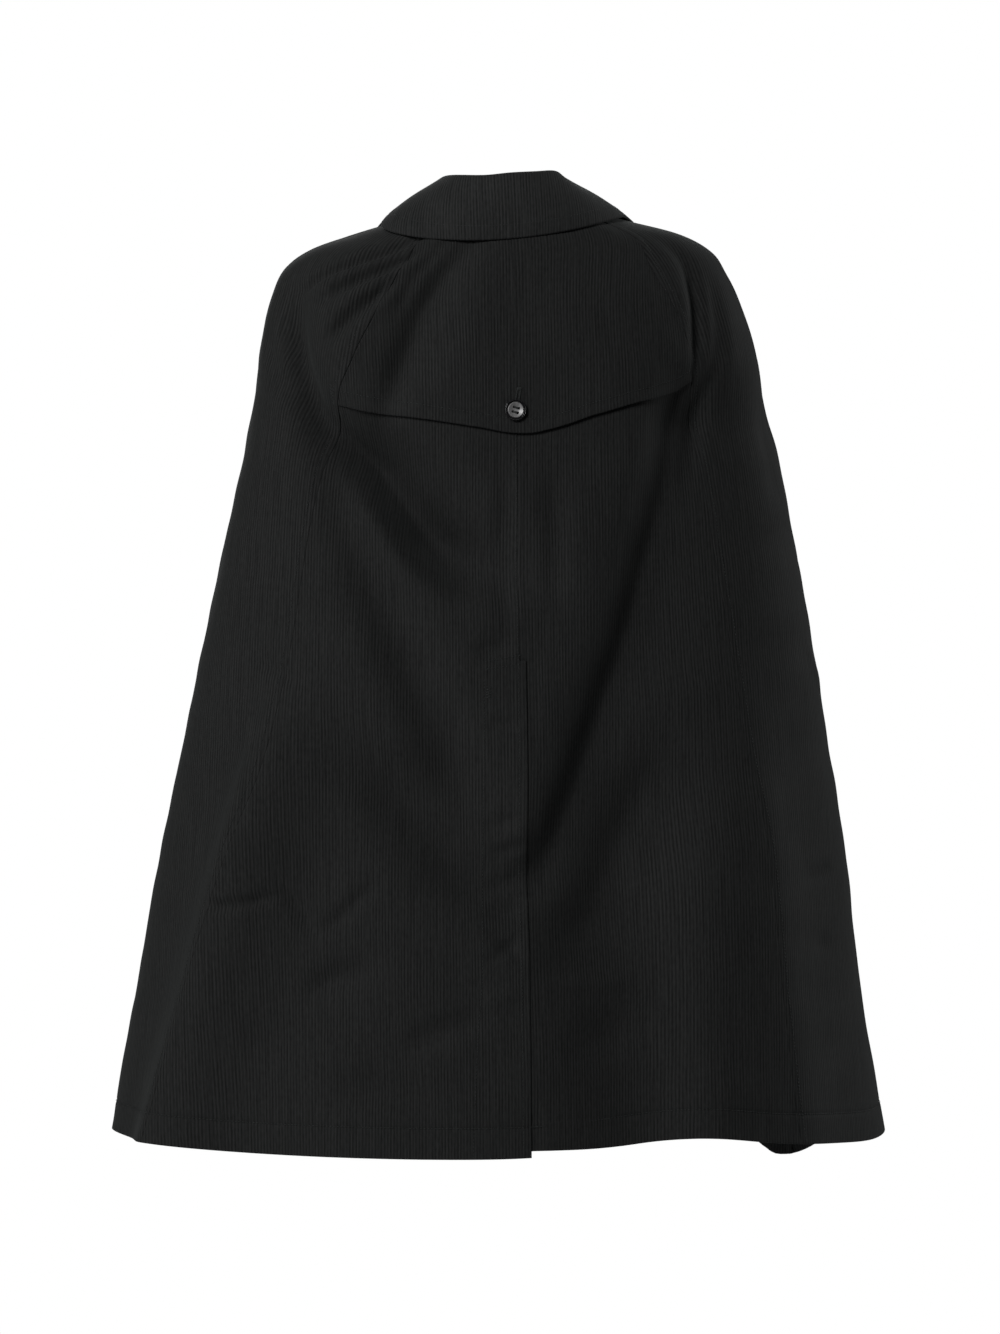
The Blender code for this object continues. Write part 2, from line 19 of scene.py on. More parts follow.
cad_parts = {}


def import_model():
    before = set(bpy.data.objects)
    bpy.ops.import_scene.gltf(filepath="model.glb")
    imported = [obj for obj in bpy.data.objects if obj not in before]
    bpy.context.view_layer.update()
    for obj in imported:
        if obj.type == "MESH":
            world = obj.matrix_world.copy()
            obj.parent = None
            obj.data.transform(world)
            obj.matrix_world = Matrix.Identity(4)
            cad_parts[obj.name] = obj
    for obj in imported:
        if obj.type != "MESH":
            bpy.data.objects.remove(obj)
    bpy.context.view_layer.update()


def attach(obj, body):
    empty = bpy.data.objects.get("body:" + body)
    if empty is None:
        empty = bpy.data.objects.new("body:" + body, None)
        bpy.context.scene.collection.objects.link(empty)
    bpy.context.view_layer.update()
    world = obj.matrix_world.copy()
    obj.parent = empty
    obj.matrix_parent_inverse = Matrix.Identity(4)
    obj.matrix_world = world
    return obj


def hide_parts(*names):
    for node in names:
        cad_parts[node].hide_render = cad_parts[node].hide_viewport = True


LOG = logging.getLogger("cape")
BODY = "root"
MM = 0.001
TAU = 2 * math.pi
TURN_STEP = 0.004
GRAIN_MAP = "grain"
DISHED = "dished"
UP = np.array([0.0, 0.0, 1.0])
CENTRE_BACK = np.array([0.0])
MIDDLE_SECTION = np.array([7.0])

Array = np.ndarray
Colour = tuple[float, float, float, float]
Surface = Callable[[Array, Array], Array]
Stitches = tuple[Array, Array, Array]


class Section(NamedTuple):
    """One level section: side height, distances from the axis, lifts of back and front, squareness."""

    height: float
    left: float
    right: float
    back: float
    front: float
    back_lift: float
    front_drop: float
    squareness: float


class Seam(NamedTuple):
    """Turns of the four raglan seams, in degrees, at a section."""

    section: float
    back_left: float
    back_right: float
    front_left: float
    front_right: float


class Fold(NamedTuple):
    """A main fold from a top point to a bottom point; troughs are deep, ridges have a negative depth."""

    turn_top: float
    height_top: float
    turn_bottom: float
    height_bottom: float
    bow: float
    width_top: float
    width_bottom: float
    depth: float
    fade: float
    runs_out: bool
    steep: float


class Crease(NamedTuple):
    """A fine crease between two points of the cloth, bowed sideways in millimetres; ridges are negative."""

    turn_start: float
    height_start: float
    turn_end: float
    height_end: float
    bow: float
    width: float
    depth: float


class Ripple(NamedTuple):
    """A faint wave in the hang of the cloth: wavelength, direction and phase in degrees, and height."""

    length: float
    direction: float
    phase: float
    height: float


class HemWave(NamedTuple):
    """A stretch of the hem that hangs lower or higher, with its spread to either side in degrees."""

    turn: float
    to_left: float
    to_right: float
    drop: float


class FlapEdge(NamedTuple):
    """A point of the storm flap's lower edge."""

    turn: float
    height: float


class CollarStation(NamedTuple):
    """The collar at a turn: stand height, lean of its fold over the neck, sections the fall reaches."""

    turn: float
    stand: float
    lean: float
    reach: float


class ProfilePoint(NamedTuple):
    """A point of the button's turned profile: distance from its axis and height over its underside."""

    radius: float
    height: float


class StitchLine(NamedTuple):
    """A straight stitch line on the back, turns in degrees."""

    turn_start: float
    turn_end: float
    height_start: float
    height_end: float


class UnderlapPoint(NamedTuple):
    """A point of the stitch line that holds the vent's underlap."""

    depth: float
    turn: float


class BarTack(NamedTuple):
    """An upright bar tack on the back: its turn in degrees, reach, width, strokes and steps of its walk."""

    turn: float
    top: float
    bottom: float
    width: float
    strokes: int
    steps: int


class Lamp(NamedTuple):
    """A soft light: swing from the camera and rise in degrees, side in metres, and watts."""

    name: str
    swing: float
    rise: float
    size: float
    power: float


SECTIONS = (
    Section(4, 70, 70, 60, 76, -8, 62, 2.0),
    Section(-9, 104, 120, 74, 90, -14, 62, 2.1),
    Section(-22, 141, 168, 86, 100, -22, 64, 2.2),
    Section(-38, 184, 198, 97, 109, -32, 68, 2.3),
    Section(-58, 210, 211, 106, 117, -40, 72, 2.4),
    Section(-85, 222, 224, 112, 123, -46, 74, 2.4),
    Section(-122, 231, 237, 116, 128, -48, 70, 2.4),
    Section(-170, 237, 248, 120, 132, -44, 62, 2.35),
    Section(-236, 248, 264, 125, 137, -36, 50, 2.3),
    Section(-312, 265, 278, 131, 143, -28, 38, 2.2),
    Section(-400, 284, 293, 140, 152, -20, 26, 2.15),
    Section(-500, 307, 309, 152, 163, -13, 16, 2.1),
    Section(-610, 330, 328, 165, 175, -7, 8, 2.05),
    Section(-740, 353, 343, 179, 187, -4, 3, 2.0),
    Section(-870, 375, 364, 192, 197, -8, 0, 2.0),
)
HEM = len(SECTIONS) - 1

SEAMS = (
    Seam(0.0, 47, -54, 128, -128),
    Seam(1.5, 40, -46, 130, -130),
    Seam(3.0, 33.5, -38.5, 132, -132),
    Seam(4.5, 34.5, -40.5, 134, -134),
    Seam(6.0, 39, -42, 134, -134),
    Seam(7.0, 43.3, -42.8, 134, -134),
    Seam(8.5, 45, -42.5, 133, -133),
    Seam(10.0, 45.5, -42.5, 131, -131),
    Seam(11.2, 46, -42.5, 129, -129),
    Seam(12.2, 51.5, -43, 128, -128),
    Seam(13.0, 56.5, -43.5, 127, -127),
    Seam(14.0, 60.5, -43.5, 126, -126),
)

# Main folds, which the CAD solids have too: right back, left back, under the flap, then the hidden sides
FOLDS = (
    Fold(-41.5, -140, -1.5, -655, 0, 19, 18, 27, 0.13, False, 2.8),
    Fold(-34, -440, -4.5, -745, 0, 25, 31, 30, 0.44, False, 1.5),
    Fold(-20, -590, -19, -880, 0, 50, 54, 20, 0.40, True, 0.55),
    Fold(-28, -380, -27, -880, 0, 34, 40, -12, 0.40, True, 1),
    Fold(-42.5, -400, -44.5, -880, 0, 46, 60, -16, 0.45, True, 0.55),
    Fold(49.5, -168, 6, -388, -3.5, 38, 38, 50, 0.36, False, 0.55),
    Fold(47.5, -205, 21, -390, -3, 14, 20, -8, 0.40, False, 1),
    Fold(73, -20, 5, -600, -5.5, 17, 22, 15, 0.15, False, 0.9),
    Fold(32, -470, -4, -700, 0, 50, 56, 20, 0.38, False, 0.55),
    Fold(45, -400, 60.5, -880, -1, 33, 44, -29, 0.40, True, 0.38),
    Fold(21, -30, 31, -215, 0, 22, 25, 12, 0.35, False, 1),
    Fold(136, -160, 172, -560, 0, 16, 26, 14, 0.30, False, 1),
    Fold(-138, -165, -172, -600, 0, 16, 26, 16, 0.30, False, 1),
    Fold(143, -340, 147, -880, 0, 26, 40, 20, 0.45, True, 1),
    Fold(-147, -360, -143, -880, 0, 26, 40, 18, 0.45, True, 1),
    Fold(108, -330, 107, -880, 0, 28, 38, 14, 0.45, True, 1),
    Fold(-108, -300, -109, -880, 0, 28, 38, 12, 0.45, True, 1),
)

# Fine creases: left shoulder and side, left back, vent, right shoulder, right back and side, then the hidden
# sides and the flap
CREASES = (
    Crease(67, -80, 44, -228, -4, 10, 13),
    Crease(78, -100, 53, -196, -6, 7, 4),
    Crease(70, -84, 33, -20, -2, 6, 10),
    Crease(55, -100, 29, -38, 0, 6, 10),
    Crease(49, -142, 30, -62, 0, 6.5, 9),
    Crease(56, -424, 40, -452, 2, 5, 3),
    Crease(54, -500, 69, -960, 0, 15, -5),
    Crease(56, -654, 38, -636, -6, 5, 4.4),
    Crease(41, -634, 33, -684, 5, 5.5, 4.4),
    Crease(35, -684, 22, -618, -4, 6, 3.6),
    Crease(34, -717, 29, -717, 0, 5, 1.2),
    Crease(36, -735, 21, -700, 3, 11, 5),
    Crease(20, -782, 3, -747, 3, 11, 5.2),
    Crease(30, -808, 9, -838, 4, 13, 4.2),
    Crease(-1.2, -380, -1.4, -930, 0, 9, -2.6),
    Crease(0, -200, 0, -450, 0, 4, -1.2),
    Crease(3, -220, 2.6, -430, 0, 8, 3.6),
    Crease(-7.5, -225, -7, -400, 0, 10, 4),
    Crease(9, -420, 0.5, -412, 2, 8, 3.4),
    Crease(7.2, -486, -1.6, -478, -2, 5, 2),
    Crease(7.4, -582, -1.6, -566, 1, 5.5, 2.6),
    Crease(5.4, -602, -1.6, -593, 1, 4.5, 3),
    Crease(7.2, -634, -1.4, -620, -1, 5.5, 2.4),
    Crease(6.6, -660, -1.2, -648, 1, 6, 2.6),
    Crease(6, -668, -1.2, -704, 0, 4.5, 3.4),
    Crease(6.4, -704, -1, -672, 0, 4.5, 3),
    Crease(7.6, -738, -1, -728, 1, 7, -2.2),
    Crease(-55, -20, -40, -190, 0, 7, 9),
    Crease(-60.5, -40, -46.5, -190, 0, 8, 4),
    Crease(-52.5, -110, -36.5, -275, 0, 10, 5),
    Crease(-52, -635, -68, -619, 2, 5.5, 2.2),
    Crease(-54, -693, -63, -687, 0, 7, 1.4),
    Crease(-70, -400, -81, -460, 0, 6, -1.6),
    Crease(0, -722, -20, -720, 0, 6, -2.6),
    Crease(-20, -735, -3, -800, 6, 16, 2.4),
    Crease(-76, -170, -66, -290, 5, 12, 2.4),
    Crease(-88, -150, -82, -230, 3, 7, 2),
    Crease(92, -130, 98, -235, 4, 8, 2.2),
    Crease(104, -110, 118, -215, -5, 7, 2.6),
    Crease(-100, -120, -116, -220, 5, 7, 2.4),
    Crease(88, -520, 100, -548, 3, 6, 1.8),
    Crease(-92, -560, -104, -590, 3, 6, 1.8),
    Crease(134, -150, 158, -300, -6, 8, 3),
    Crease(-135, -150, -160, -330, 7, 8, 3.2),
    Crease(150, -240, 168, -330, 3, 6, 1.8),
    Crease(-152, -220, -170, -290, 3, 6, 1.6),
    Crease(140, -610, 152, -640, 2, 6, 1.8),
    Crease(-150, -640, -164, -615, -3, 6, 2),
    Crease(-174, -480, -160, -505, 2, 5.5, 1.4),
    Crease(172, -690, 160, -715, 2, 6, 1.5),
    Crease(15, 10, 33, -250, 0, 13, 9),
    Crease(27, -20, 30, -120, 0, 6, 3.4),
    Crease(14, -90, 24, -190, 4, 11, 2.2),
    Crease(-14, -70, -30, -150, -4, 16, 1.2),
    Crease(-24, -120, -40, -168, 3, 10, 1.5),
    Crease(4, -120, 2, -190, 0, 12, 0.8),
)

RIPPLES = (
    Ripple(148, 8, 20, 0.55),
    Ripple(97, -23, 140, 0.40),
    Ripple(71, 41, 260, 0.28),
    Ripple(53, 78, 75, 0.20),
    Ripple(39, -62, 310, 0.13),
)

HEM_WAVES = (
    HemWave(86, 14, 14, -5),
    HemWave(-24, 11, 10, -14),
    HemWave(-70, 12, 12, 6),
    HemWave(-128, 10, 6, 41),
)

FLAP_EDGE = (
    FlapEdge(-50, -160),
    FlapEdge(-43, -164),
    FlapEdge(-38, -173),
    FlapEdge(-30, -183),
    FlapEdge(-16, -200),
    FlapEdge(-6, -214),
    FlapEdge(0, -217),
    FlapEdge(8, -212),
    FlapEdge(20, -204),
    FlapEdge(31, -197),
    FlapEdge(43, -189),
    FlapEdge(54, -186),
)

COLLAR = (
    CollarStation(-180, 20, 2, 3.3),
    CollarStation(-150, 21, 4, 3.1),
    CollarStation(-120, 22, 9, 1.9),
    CollarStation(-90, 22, 17, 0.95),
    CollarStation(-60, 25, 15, 0.95),
    CollarStation(-40, 30, 8, 1.10),
    CollarStation(-20, 30, 4, 1.35),
    CollarStation(0, 29, 3, 1.60),
    CollarStation(20, 26, 4, 1.78),
    CollarStation(40, 25, 8, 1.92),
    CollarStation(60, 24, 12, 1.78),
    CollarStation(90, 22, 13, 1.28),
    CollarStation(120, 22, 9, 2.1),
    CollarStation(150, 21, 4, 3.1),
    CollarStation(180, 20, 2, 3.3),
)

# From the middle of the underside round the rim and its channel to the middle of the dish
BUTTON_PROFILE = (
    ProfilePoint(0.01, 0.0),
    ProfilePoint(7.6, 0.0),
    ProfilePoint(8.5, 0.12),
    ProfilePoint(9.4, 0.6),
    ProfilePoint(9.9, 1.3),
    ProfilePoint(10.0, 1.9),
    ProfilePoint(9.9, 2.7),
    ProfilePoint(9.65, 3.2),
    ProfilePoint(9.3, 3.4),
    ProfilePoint(8.95, 3.2),
    ProfilePoint(8.7, 2.2),
    ProfilePoint(8.2, 1.5),
    ProfilePoint(7.7, 1.5),
    ProfilePoint(7.3, 2.3),
    ProfilePoint(7.0, 2.7),
    ProfilePoint(6.5, 2.75),
    ProfilePoint(5.6, 2.4),
    ProfilePoint(3.0, 1.6),
    ProfilePoint(0.01, 1.3),
)

VENT_TOP_LINES = (StitchLine(6.5, -0.4, -427, -421), StitchLine(6.2, -0.2, -434, -429))

UNDERLAP_LINE = (
    UnderlapPoint(443, 6.5),
    UnderlapPoint(520, 6.2),
    UnderlapPoint(720, 6.2),
    UnderlapPoint(770, 6.8),
    UnderlapPoint(880, 7.3),
)

VENT_TACK = BarTack(5.6, -450, -461, 5.0, 9, 12)
FLAP_TACK = BarTack(44.5, -170, -188, 4.0, 13, 16)

LAMPS = (
    Lamp("key", 28.0, 28.0, 1.2, 88.0),
    Lamp("low", 75.0, 5.0, 1.5, 30.0),
    Lamp("edge", -112.0, 15.0, 1.5, 70.0),
    Lamp("front_fill", 170.0, 25.0, 2.2, 55.0),
)


class Slot(Enum):
    """Names of material slots."""

    GABARDINE = "gabardine"
    BUTTON = "button"


class Border(Enum):
    """How a panel's border is sewn."""

    RAGLAN_OVER = "lapped seam, the raised and topstitched side"
    UNDER = "lapped seam, the side whose allowance goes under its neighbour"
    CENTRE = "plain seam"
    FREE = "free turned edge"


def along_rows(rows: Sequence[Sequence[float]], at: Array) -> Array:
    """Every column of a table between its rows: a Catmull-Rom curve through the rows.

    Args:
        rows: the table.
        at: row numbers, which may be fractions.

    Returns:
        The table's columns at each row number, along the last axis.
    """
    table = np.array(rows, float)
    last = len(table) - 1
    at = np.clip(np.asarray(at, float), 0, last)
    row = np.minimum(at.astype(int), last - 1)
    f = (at - row)[..., None]
    before, start = table[np.maximum(row - 1, 0)], table[row]
    end, after = table[row + 1], table[np.minimum(row + 2, last)]
    bend = 2 * before - 5 * start + 4 * end - after
    twist = 3 * start - before - 3 * end + after
    return start + 0.5 * f * ((end - before) + f * (bend + f * twist))


def along_column(rows: Sequence[Sequence[float]], key: Array) -> Array:
    """The same curve at values of the table's first column, which rises."""
    return along_rows(rows, np.interp(key, [row[0] for row in rows], np.arange(len(rows))))


def ease(x: Array) -> Array:
    """Soft step 3x² - 2x³ from 0 at x = 0 to 1 at x = 1."""
    x = np.clip(x, 0, 1)
    return x * x * (3 - 2 * x)


def ends_past(distance: Array, reach: float, within: float) -> Array:
    """Soft step that is 1 up to a reach and 0 a little past it."""
    return 1 - ease((distance - reach) / within)


def bell(x: Array) -> Array:
    """Bell curve exp(-x²/2)."""
    return np.exp(-0.5 * np.square(x))


def wrapped(angle: Array) -> Array:
    """An angle in radians brought between minus and plus half a turn."""
    return np.angle(np.exp(1j * np.asarray(angle)))


def unit(vectors: Array) -> Array:
    """Vectors scaled to length 1."""
    return vectors / np.linalg.norm(vectors, axis=-1, keepdims=True)


def normals_of(surface: Surface, across: Array, down: Array, step: float = 0.02) -> Array:
    """Outward unit normals of a surface: its central differences in both parameters, crossed."""
    a = surface(across + TURN_STEP, down) - surface(across - TURN_STEP, down)
    b = surface(across, down + step) - surface(across, down - step)
    return unit(np.cross(a, b))


def grid_normals(points: Array) -> Array:
    """Unit normals of a grid: its differences along the columns crossed with those along the rows."""
    return unit(np.cross(np.gradient(points, axis=1), np.gradient(points, axis=0)))


def running_length(points: Array, axis: int) -> Array:
    """Length walked along one axis of a grid of points, from 0 at its start."""
    steps = np.linalg.norm(np.diff(points, axis=axis), axis=-1)
    start = np.zeros_like(np.take(steps, [0], axis=axis))
    return np.concatenate([start, np.cumsum(steps, axis=axis)], axis=axis)


def borders_of(points: Array) -> tuple[Array, Array, Array, Array]:
    """Lengths down and across a grid, and distances from its last row and from its nearest free border."""
    down, across = running_length(points, 0), running_length(points, 1)
    from_edge = down[-1:] - down
    return down, across, from_edge, np.minimum(from_edge, np.minimum(across, across[:, -1:] - across))


def together(first: Array | float, second: Array | float) -> list[Array]:
    """Two arrays of numbers brought to one shape."""
    return np.broadcast_arrays(np.asarray(first, float), np.asarray(second, float))


def ring_faces(rings: int, steps: int) -> Array:
    """Four-cornered faces between rings of points that follow one another, closed round each ring."""
    number = np.arange(rings * steps).reshape(rings, steps)
    beside = np.roll(number, -1, axis=1)
    return np.stack([number[:-1], beside[:-1], beside[1:], number[1:]], -1).reshape(-1, 4)


def circle(steps: int) -> Array:
    """Points of the unit circle, evenly round it."""
    swing = np.linspace(0, TAU, steps, endpoint=False)
    return np.stack([np.cos(swing), np.sin(swing)], -1)


def crease_depth(turn: Array, height: Array, per_radian: Array) -> Array:
    """Depth of the fine creases: a bell across a bowed chord, with a low lip each side, fading at both ends.

    In the unrolled cloth, u is the share along the chord and v the distance from it less 4 bow u (1 - u).
    The depth is exp(-q/2) (1 - lip q) with q = (v / width)², times a soft fade over each end.

    Args:
        turn: turns of the points, in radians.
        height: heights of the points.
        per_radian: millimetres round the cloth for each radian.

    Returns:
        How far the creases push each point in.
    """
    lip, fade = 0.22, 0.38
    depth = np.zeros_like(height)
    for crease in CREASES:
        x = wrapped(turn - math.radians(crease.turn_start)) * per_radian
        z = height - crease.height_start
        chord_x = math.radians(crease.turn_end - crease.turn_start) * per_radian
        chord_z = crease.height_end - crease.height_start
        length = np.hypot(chord_x, chord_z)
        u = (x * chord_x + z * chord_z) / length**2
        inside = np.clip(u, 0, 1)
        v = (x * chord_z - z * chord_x) / length - 4 * crease.bow * inside * (1 - inside)
        q = np.square(v / crease.width)
        ends = ease(u / fade) * ease((1 - u) / fade)
        depth += crease.depth * ends * np.exp(-0.5 * q) * (1 - lip * q)
    return depth


@dataclass(frozen=True)
class CapeForm:
    """The hanging cloth as one surface of a turn round the body and a section down it."""

    hem_wave_sections: float = 1.6
    hem_depth: float = 27.0
    vent_top: float = -426.0
    edge_rows: tuple[float, ...] = (0.4, 1.0, 2.0)
    stitch_rows: tuple[float, ...] = (-4.0, -2.7, -1.4, -0.1, 1.2, 2.5, 3.8)
    least_row: float = 0.35
    height_steps: int = 281
    side_steps: int = 561
    half_round: int = 90

    def near_hem(self, section: Array) -> Array:
        """Soft step from 0 well above the hem to 1 at it."""
        return ease((section - HEM + self.hem_wave_sections) / self.hem_wave_sections)

    def hem_drop(self, turn: Array, section: Array) -> Array:
        """How much lower than its level section the cloth hangs near the hem: a sum of lopsided bells."""
        drop = np.zeros(np.broadcast(turn, section).shape)
        for wave in HEM_WAVES:
            away = np.degrees(wrapped(turn - math.radians(wave.turn)))
            drop = drop + wave.drop * bell(away / np.where(away > 0, wave.to_left, wave.to_right))
        return self.near_hem(section) * drop

    def smooth(self, turn: Array, section: Array) -> Array:
        """The cloth before its folds: superellipses, x = half width · k sin, y = half depth · k cos."""
        columns = along_rows(SECTIONS, section)
        height, left, right, back, front, lift, drop, power = np.moveaxis(columns, -1, 0)
        sine, cosine = np.sin(turn), np.cos(turn)
        scale = (np.abs(sine) ** power + np.abs(cosine) ** power) ** (-1 / power)
        x = np.where(sine >= 0, left, right) * scale * sine
        y = np.where(cosine >= 0, back, front) * scale * cosine
        z = height + np.where(cosine >= 0, lift, -drop) * cosine**2 - self.hem_drop(turn, section)
        return np.stack([x, y, z], axis=-1)

    def per_radian(self, turn: Array, section: Array) -> Array:
        """Millimetres round the cloth for each radian of turn."""
        ahead, behind = self.smooth(turn + TURN_STEP, section), self.smooth(turn - TURN_STEP, section)
        return np.linalg.norm(ahead - behind, axis=-1) / (2 * TURN_STEP)

    def fold_depth(self, turn: Array, height: Array, per_radian: Array) -> Array:
        """How far the main folds push the cloth in: bells across lines that lean from top to bottom.

        Args:
            turn: turns of the points, in radians.
            height: heights of the points.
            per_radian: millimetres round the cloth for each radian.

        Returns:
            Depths in millimetres.
        """
        depth = np.zeros_like(height)
        for fold in FOLDS:
            share = (fold.height_top - height) / (fold.height_top - fold.height_bottom)
            inside = np.clip(share, 0, 1)
            bow = 4 * fold.bow * inside * (1 - inside)
            centre = np.radians(fold.turn_top + (fold.turn_bottom - fold.turn_top) * inside + bow)
            width = fold.width_top + (fold.width_bottom - fold.width_top) * inside
            across = wrapped(turn - centre) * per_radian
            width = np.where(across * fold.turn_top > 0, width * fold.steep, width)
            ends = ease(share / fold.fade)
            if not fold.runs_out:
                ends = ends * ease((1 - share) / fold.fade)
            depth += fold.depth * ends * bell(across / width)
        return depth

    def ripple(self, turn: Array, height: Array, per_radian: Array) -> Array:
        """Faint unevenness: a sum of sine waves over the unrolled cloth."""
        rise = np.zeros_like(height)
        for wave in RIPPLES:
            angle = math.radians(wave.direction)
            walk = turn * per_radian * math.cos(angle) + height * math.sin(angle)
            rise += wave.height * np.sin(TAU * walk / wave.length + math.radians(wave.phase))
        return rise

    def folded(self, turn: Array, section: Array, fine: bool = False) -> Array:
        """Outer face of the cloth: the smooth form moved along its normals.

        Args:
            turn: radians from the centre back.
            section: section numbers.
            fine: whether creases and ripples move it too, and not only the main folds.

        Returns:
            Points in millimetres.
        """
        turn, section = together(turn, np.clip(section, 0, HEM))
        points = self.smooth(turn, section)
        places = turn, points[..., 2], self.per_radian(turn, section)
        depth = self.fold_depth(*places)
        if fine:
            depth = depth + crease_depth(*places) - self.ripple(*places)
        return points - normals_of(self.smooth, turn, section) * depth[..., None]

    def creased(self, turn: Array, section: Array) -> Array:
        """The cloth with folds, creases and ripples."""
        return self.folded(turn, section, True)

    def section_at(self, turn: Array, height: Array | float) -> Array:
        """Section where the cloth has a height at each turn, read from a fine walk down it."""
        steps = np.linspace(0, HEM, self.height_steps)
        turns, heights = together(np.atleast_1d(turn), height)
        walks = self.folded(turns[:, None], steps[None, :])[..., 2]
        return np.array([np.interp(-h, -walk, steps) for h, walk in zip(heights, walks)])

    def to_turn(self, distance: float, section: Array, centre: float) -> Array:
        """The turn that takes a distance round the cloth from a centre line."""
        return distance / self.per_radian(np.full_like(section, centre), section)

    def seam(self, name: str, section: Array, aside: float = 0.0) -> Array:
        """Turn in radians of a raglan seam at each section, or of a line a distance further round."""
        turn = np.radians(along_column(SEAMS, section)[..., Seam._fields.index(name)])
        if not aside:
            return turn
        return turn + self.to_turn(aside, section, float(self.seam(name, MIDDLE_SECTION)[0]))

    def side_walk(self) -> tuple[Array, Array]:
        """Sections and the length down the left side to each."""
        steps = np.linspace(0, HEM, self.side_steps)
        side = self.smooth(np.full_like(steps, math.pi / 2), steps)
        return steps, running_length(side, 0)

    def hem_distance(self, section: Array) -> Array:
        """Length from a section down to the hem."""
        steps, length = self.side_walk()
        return length[-1] - np.interp(section, steps, length)

    def rows(self, step: float) -> Array:
        """Sections of a wall's rows: even steps down the side, closer at the hem and its stitch line."""
        steps, length = self.side_walk()
        even = np.linspace(0, length[-1], round(length[-1] / step) + 1)
        close = np.array([*self.edge_rows, *np.array(self.stitch_rows) + self.hem_depth])
        lengths = np.unique(np.concatenate([even, length[-1] - close]))
        kept = lengths[np.concatenate([[True], np.diff(lengths) > self.least_row])]
        kept[-1] = length[-1]
        return np.interp(kept, length, steps)

    def round_length(self, turns: Array, section: Array, centre: float) -> Array:
        """Signed length round the smooth cloth from a centre line to each turn of a grid, row by row."""
        table = centre + np.linspace(-math.pi, math.pi, 2 * self.half_round + 1)
        walked = running_length(self.smooth(table[None, :], section[:, None]), 1)
        walked = walked - walked[:, self.half_round, None]
        return np.stack([np.interp(t, table, w) for t, w in zip(turns, walked)])


def new_piece(name: str, points: Array, faces: Array, grain: Array | None = None) -> bpy.types.Object:
    """A smooth-shaded object at the origin from arrays of points and four-cornered faces.

    Args:
        name: the piece's name.
        points: points in millimetres.
        faces: corner numbers, four for each face.
        grain: flat place of each point along the cloth's grain, in metres, for the UV map.

    Returns:
        The new object.
    """
    used, corners = np.unique(faces, return_inverse=True)
    corners = corners.reshape(faces.shape)
    mesh = bpy.data.meshes.new(name)
    mesh.vertices.add(len(used))
    mesh.vertices.foreach_set("co", (points[used] * MM).astype(np.float32).ravel())
    mesh.loops.add(corners.size)
    mesh.loops.foreach_set("vertex_index", corners.astype(np.int32).ravel())
    mesh.polygons.add(len(corners))
    mesh.polygons.foreach_set("loop_start", np.arange(0, corners.size, 4, dtype=np.int32))
    mesh.update(calc_edges=True)
    if grain is not None:
        flat = grain[used][corners.ravel()]
        mesh.uv_layers.new(name=GRAIN_MAP).uv.foreach_set("vector", flat.astype(np.float32).ravel())
    mesh.validate()
    mesh.shade_smooth()
    return linked(name, mesh)


def linked(name: str, data: bpy.types.ID) -> bpy.types.Object:
    """A new object of a mesh, light or camera, in the scene."""
    piece = bpy.data.objects.new(name, data)
    bpy.context.scene.collection.objects.link(piece)
    return piece


class CutSize(NamedTuple):
    """Flat cut of a cloth piece, in metres and square metres."""

    width: float
    length: float
    area: float


@dataclass
class ClothWall:
    """A thin closed wall between two grids of points, over the cells that are there.

    Columns run so that the cross product of the columns' and the rows' directions points out of the cloth.
    """

    name: str
    outer: Array
    inner: Array
    grain: Array
    cells: Array | None = None

    def mask(self) -> Array:
        """The cells that are there."""
        rows, columns = self.outer.shape[:2]
        return np.ones((rows - 1, columns - 1), bool) if self.cells is None else self.cells

    def build(self) -> bpy.types.Object:
        """Both faces and a rim along every border of the cells, joined as one closed mesh.

        Returns:
            The new object.
        """
        rows, columns = self.outer.shape[:2]
        cells = self.mask()
        count = rows * columns
        number = np.arange(count).reshape(rows, columns)
        a, b, c, d = number[:-1, :-1], number[:-1, 1:], number[1:, 1:], number[1:, :-1]
        padded = np.pad(cells, 1)
        open_sides = (
            (a, b, cells & ~padded[:-2, 1:-1]),
            (b, c, cells & ~padded[1:-1, 2:]),
            (c, d, cells & ~padded[2:, 1:-1]),
            (d, a, cells & ~padded[1:-1, :-2]),
        )
        faces = [np.stack([a, b, c, d], -1)[cells], np.stack([a, d, c, b], -1)[cells] + count]
        for start, end, bare in open_sides:
            p, q = start[bare], end[bare]
            faces.append(np.stack([q, p, p + count, q + count], -1))
        points = np.concatenate([self.outer.reshape(-1, 3), self.inner.reshape(-1, 3)])
        grain = np.concatenate([self.grain.reshape(-1, 2)] * 2) * MM
        return new_piece(self.name, points, np.concatenate(faces), grain)

    def cut(self) -> CutSize:
        """Flat size: the longest row, the longest column and the summed area of the cells."""
        cells = self.mask()
        wide = np.linalg.norm(np.diff(self.outer, axis=1), axis=-1)[:-1] * cells
        long = np.linalg.norm(np.diff(self.outer, axis=0), axis=-1)[:, :-1] * cells
        first = self.outer[1:, 1:] - self.outer[:-1, :-1]
        second = self.outer[1:, :-1] - self.outer[:-1, 1:]
        area = 0.5 * np.linalg.norm(np.cross(first, second), axis=-1)[cells].sum()
        return CutSize(wide.sum(1).max() * MM, long.sum(0).max() * MM, area * MM * MM)


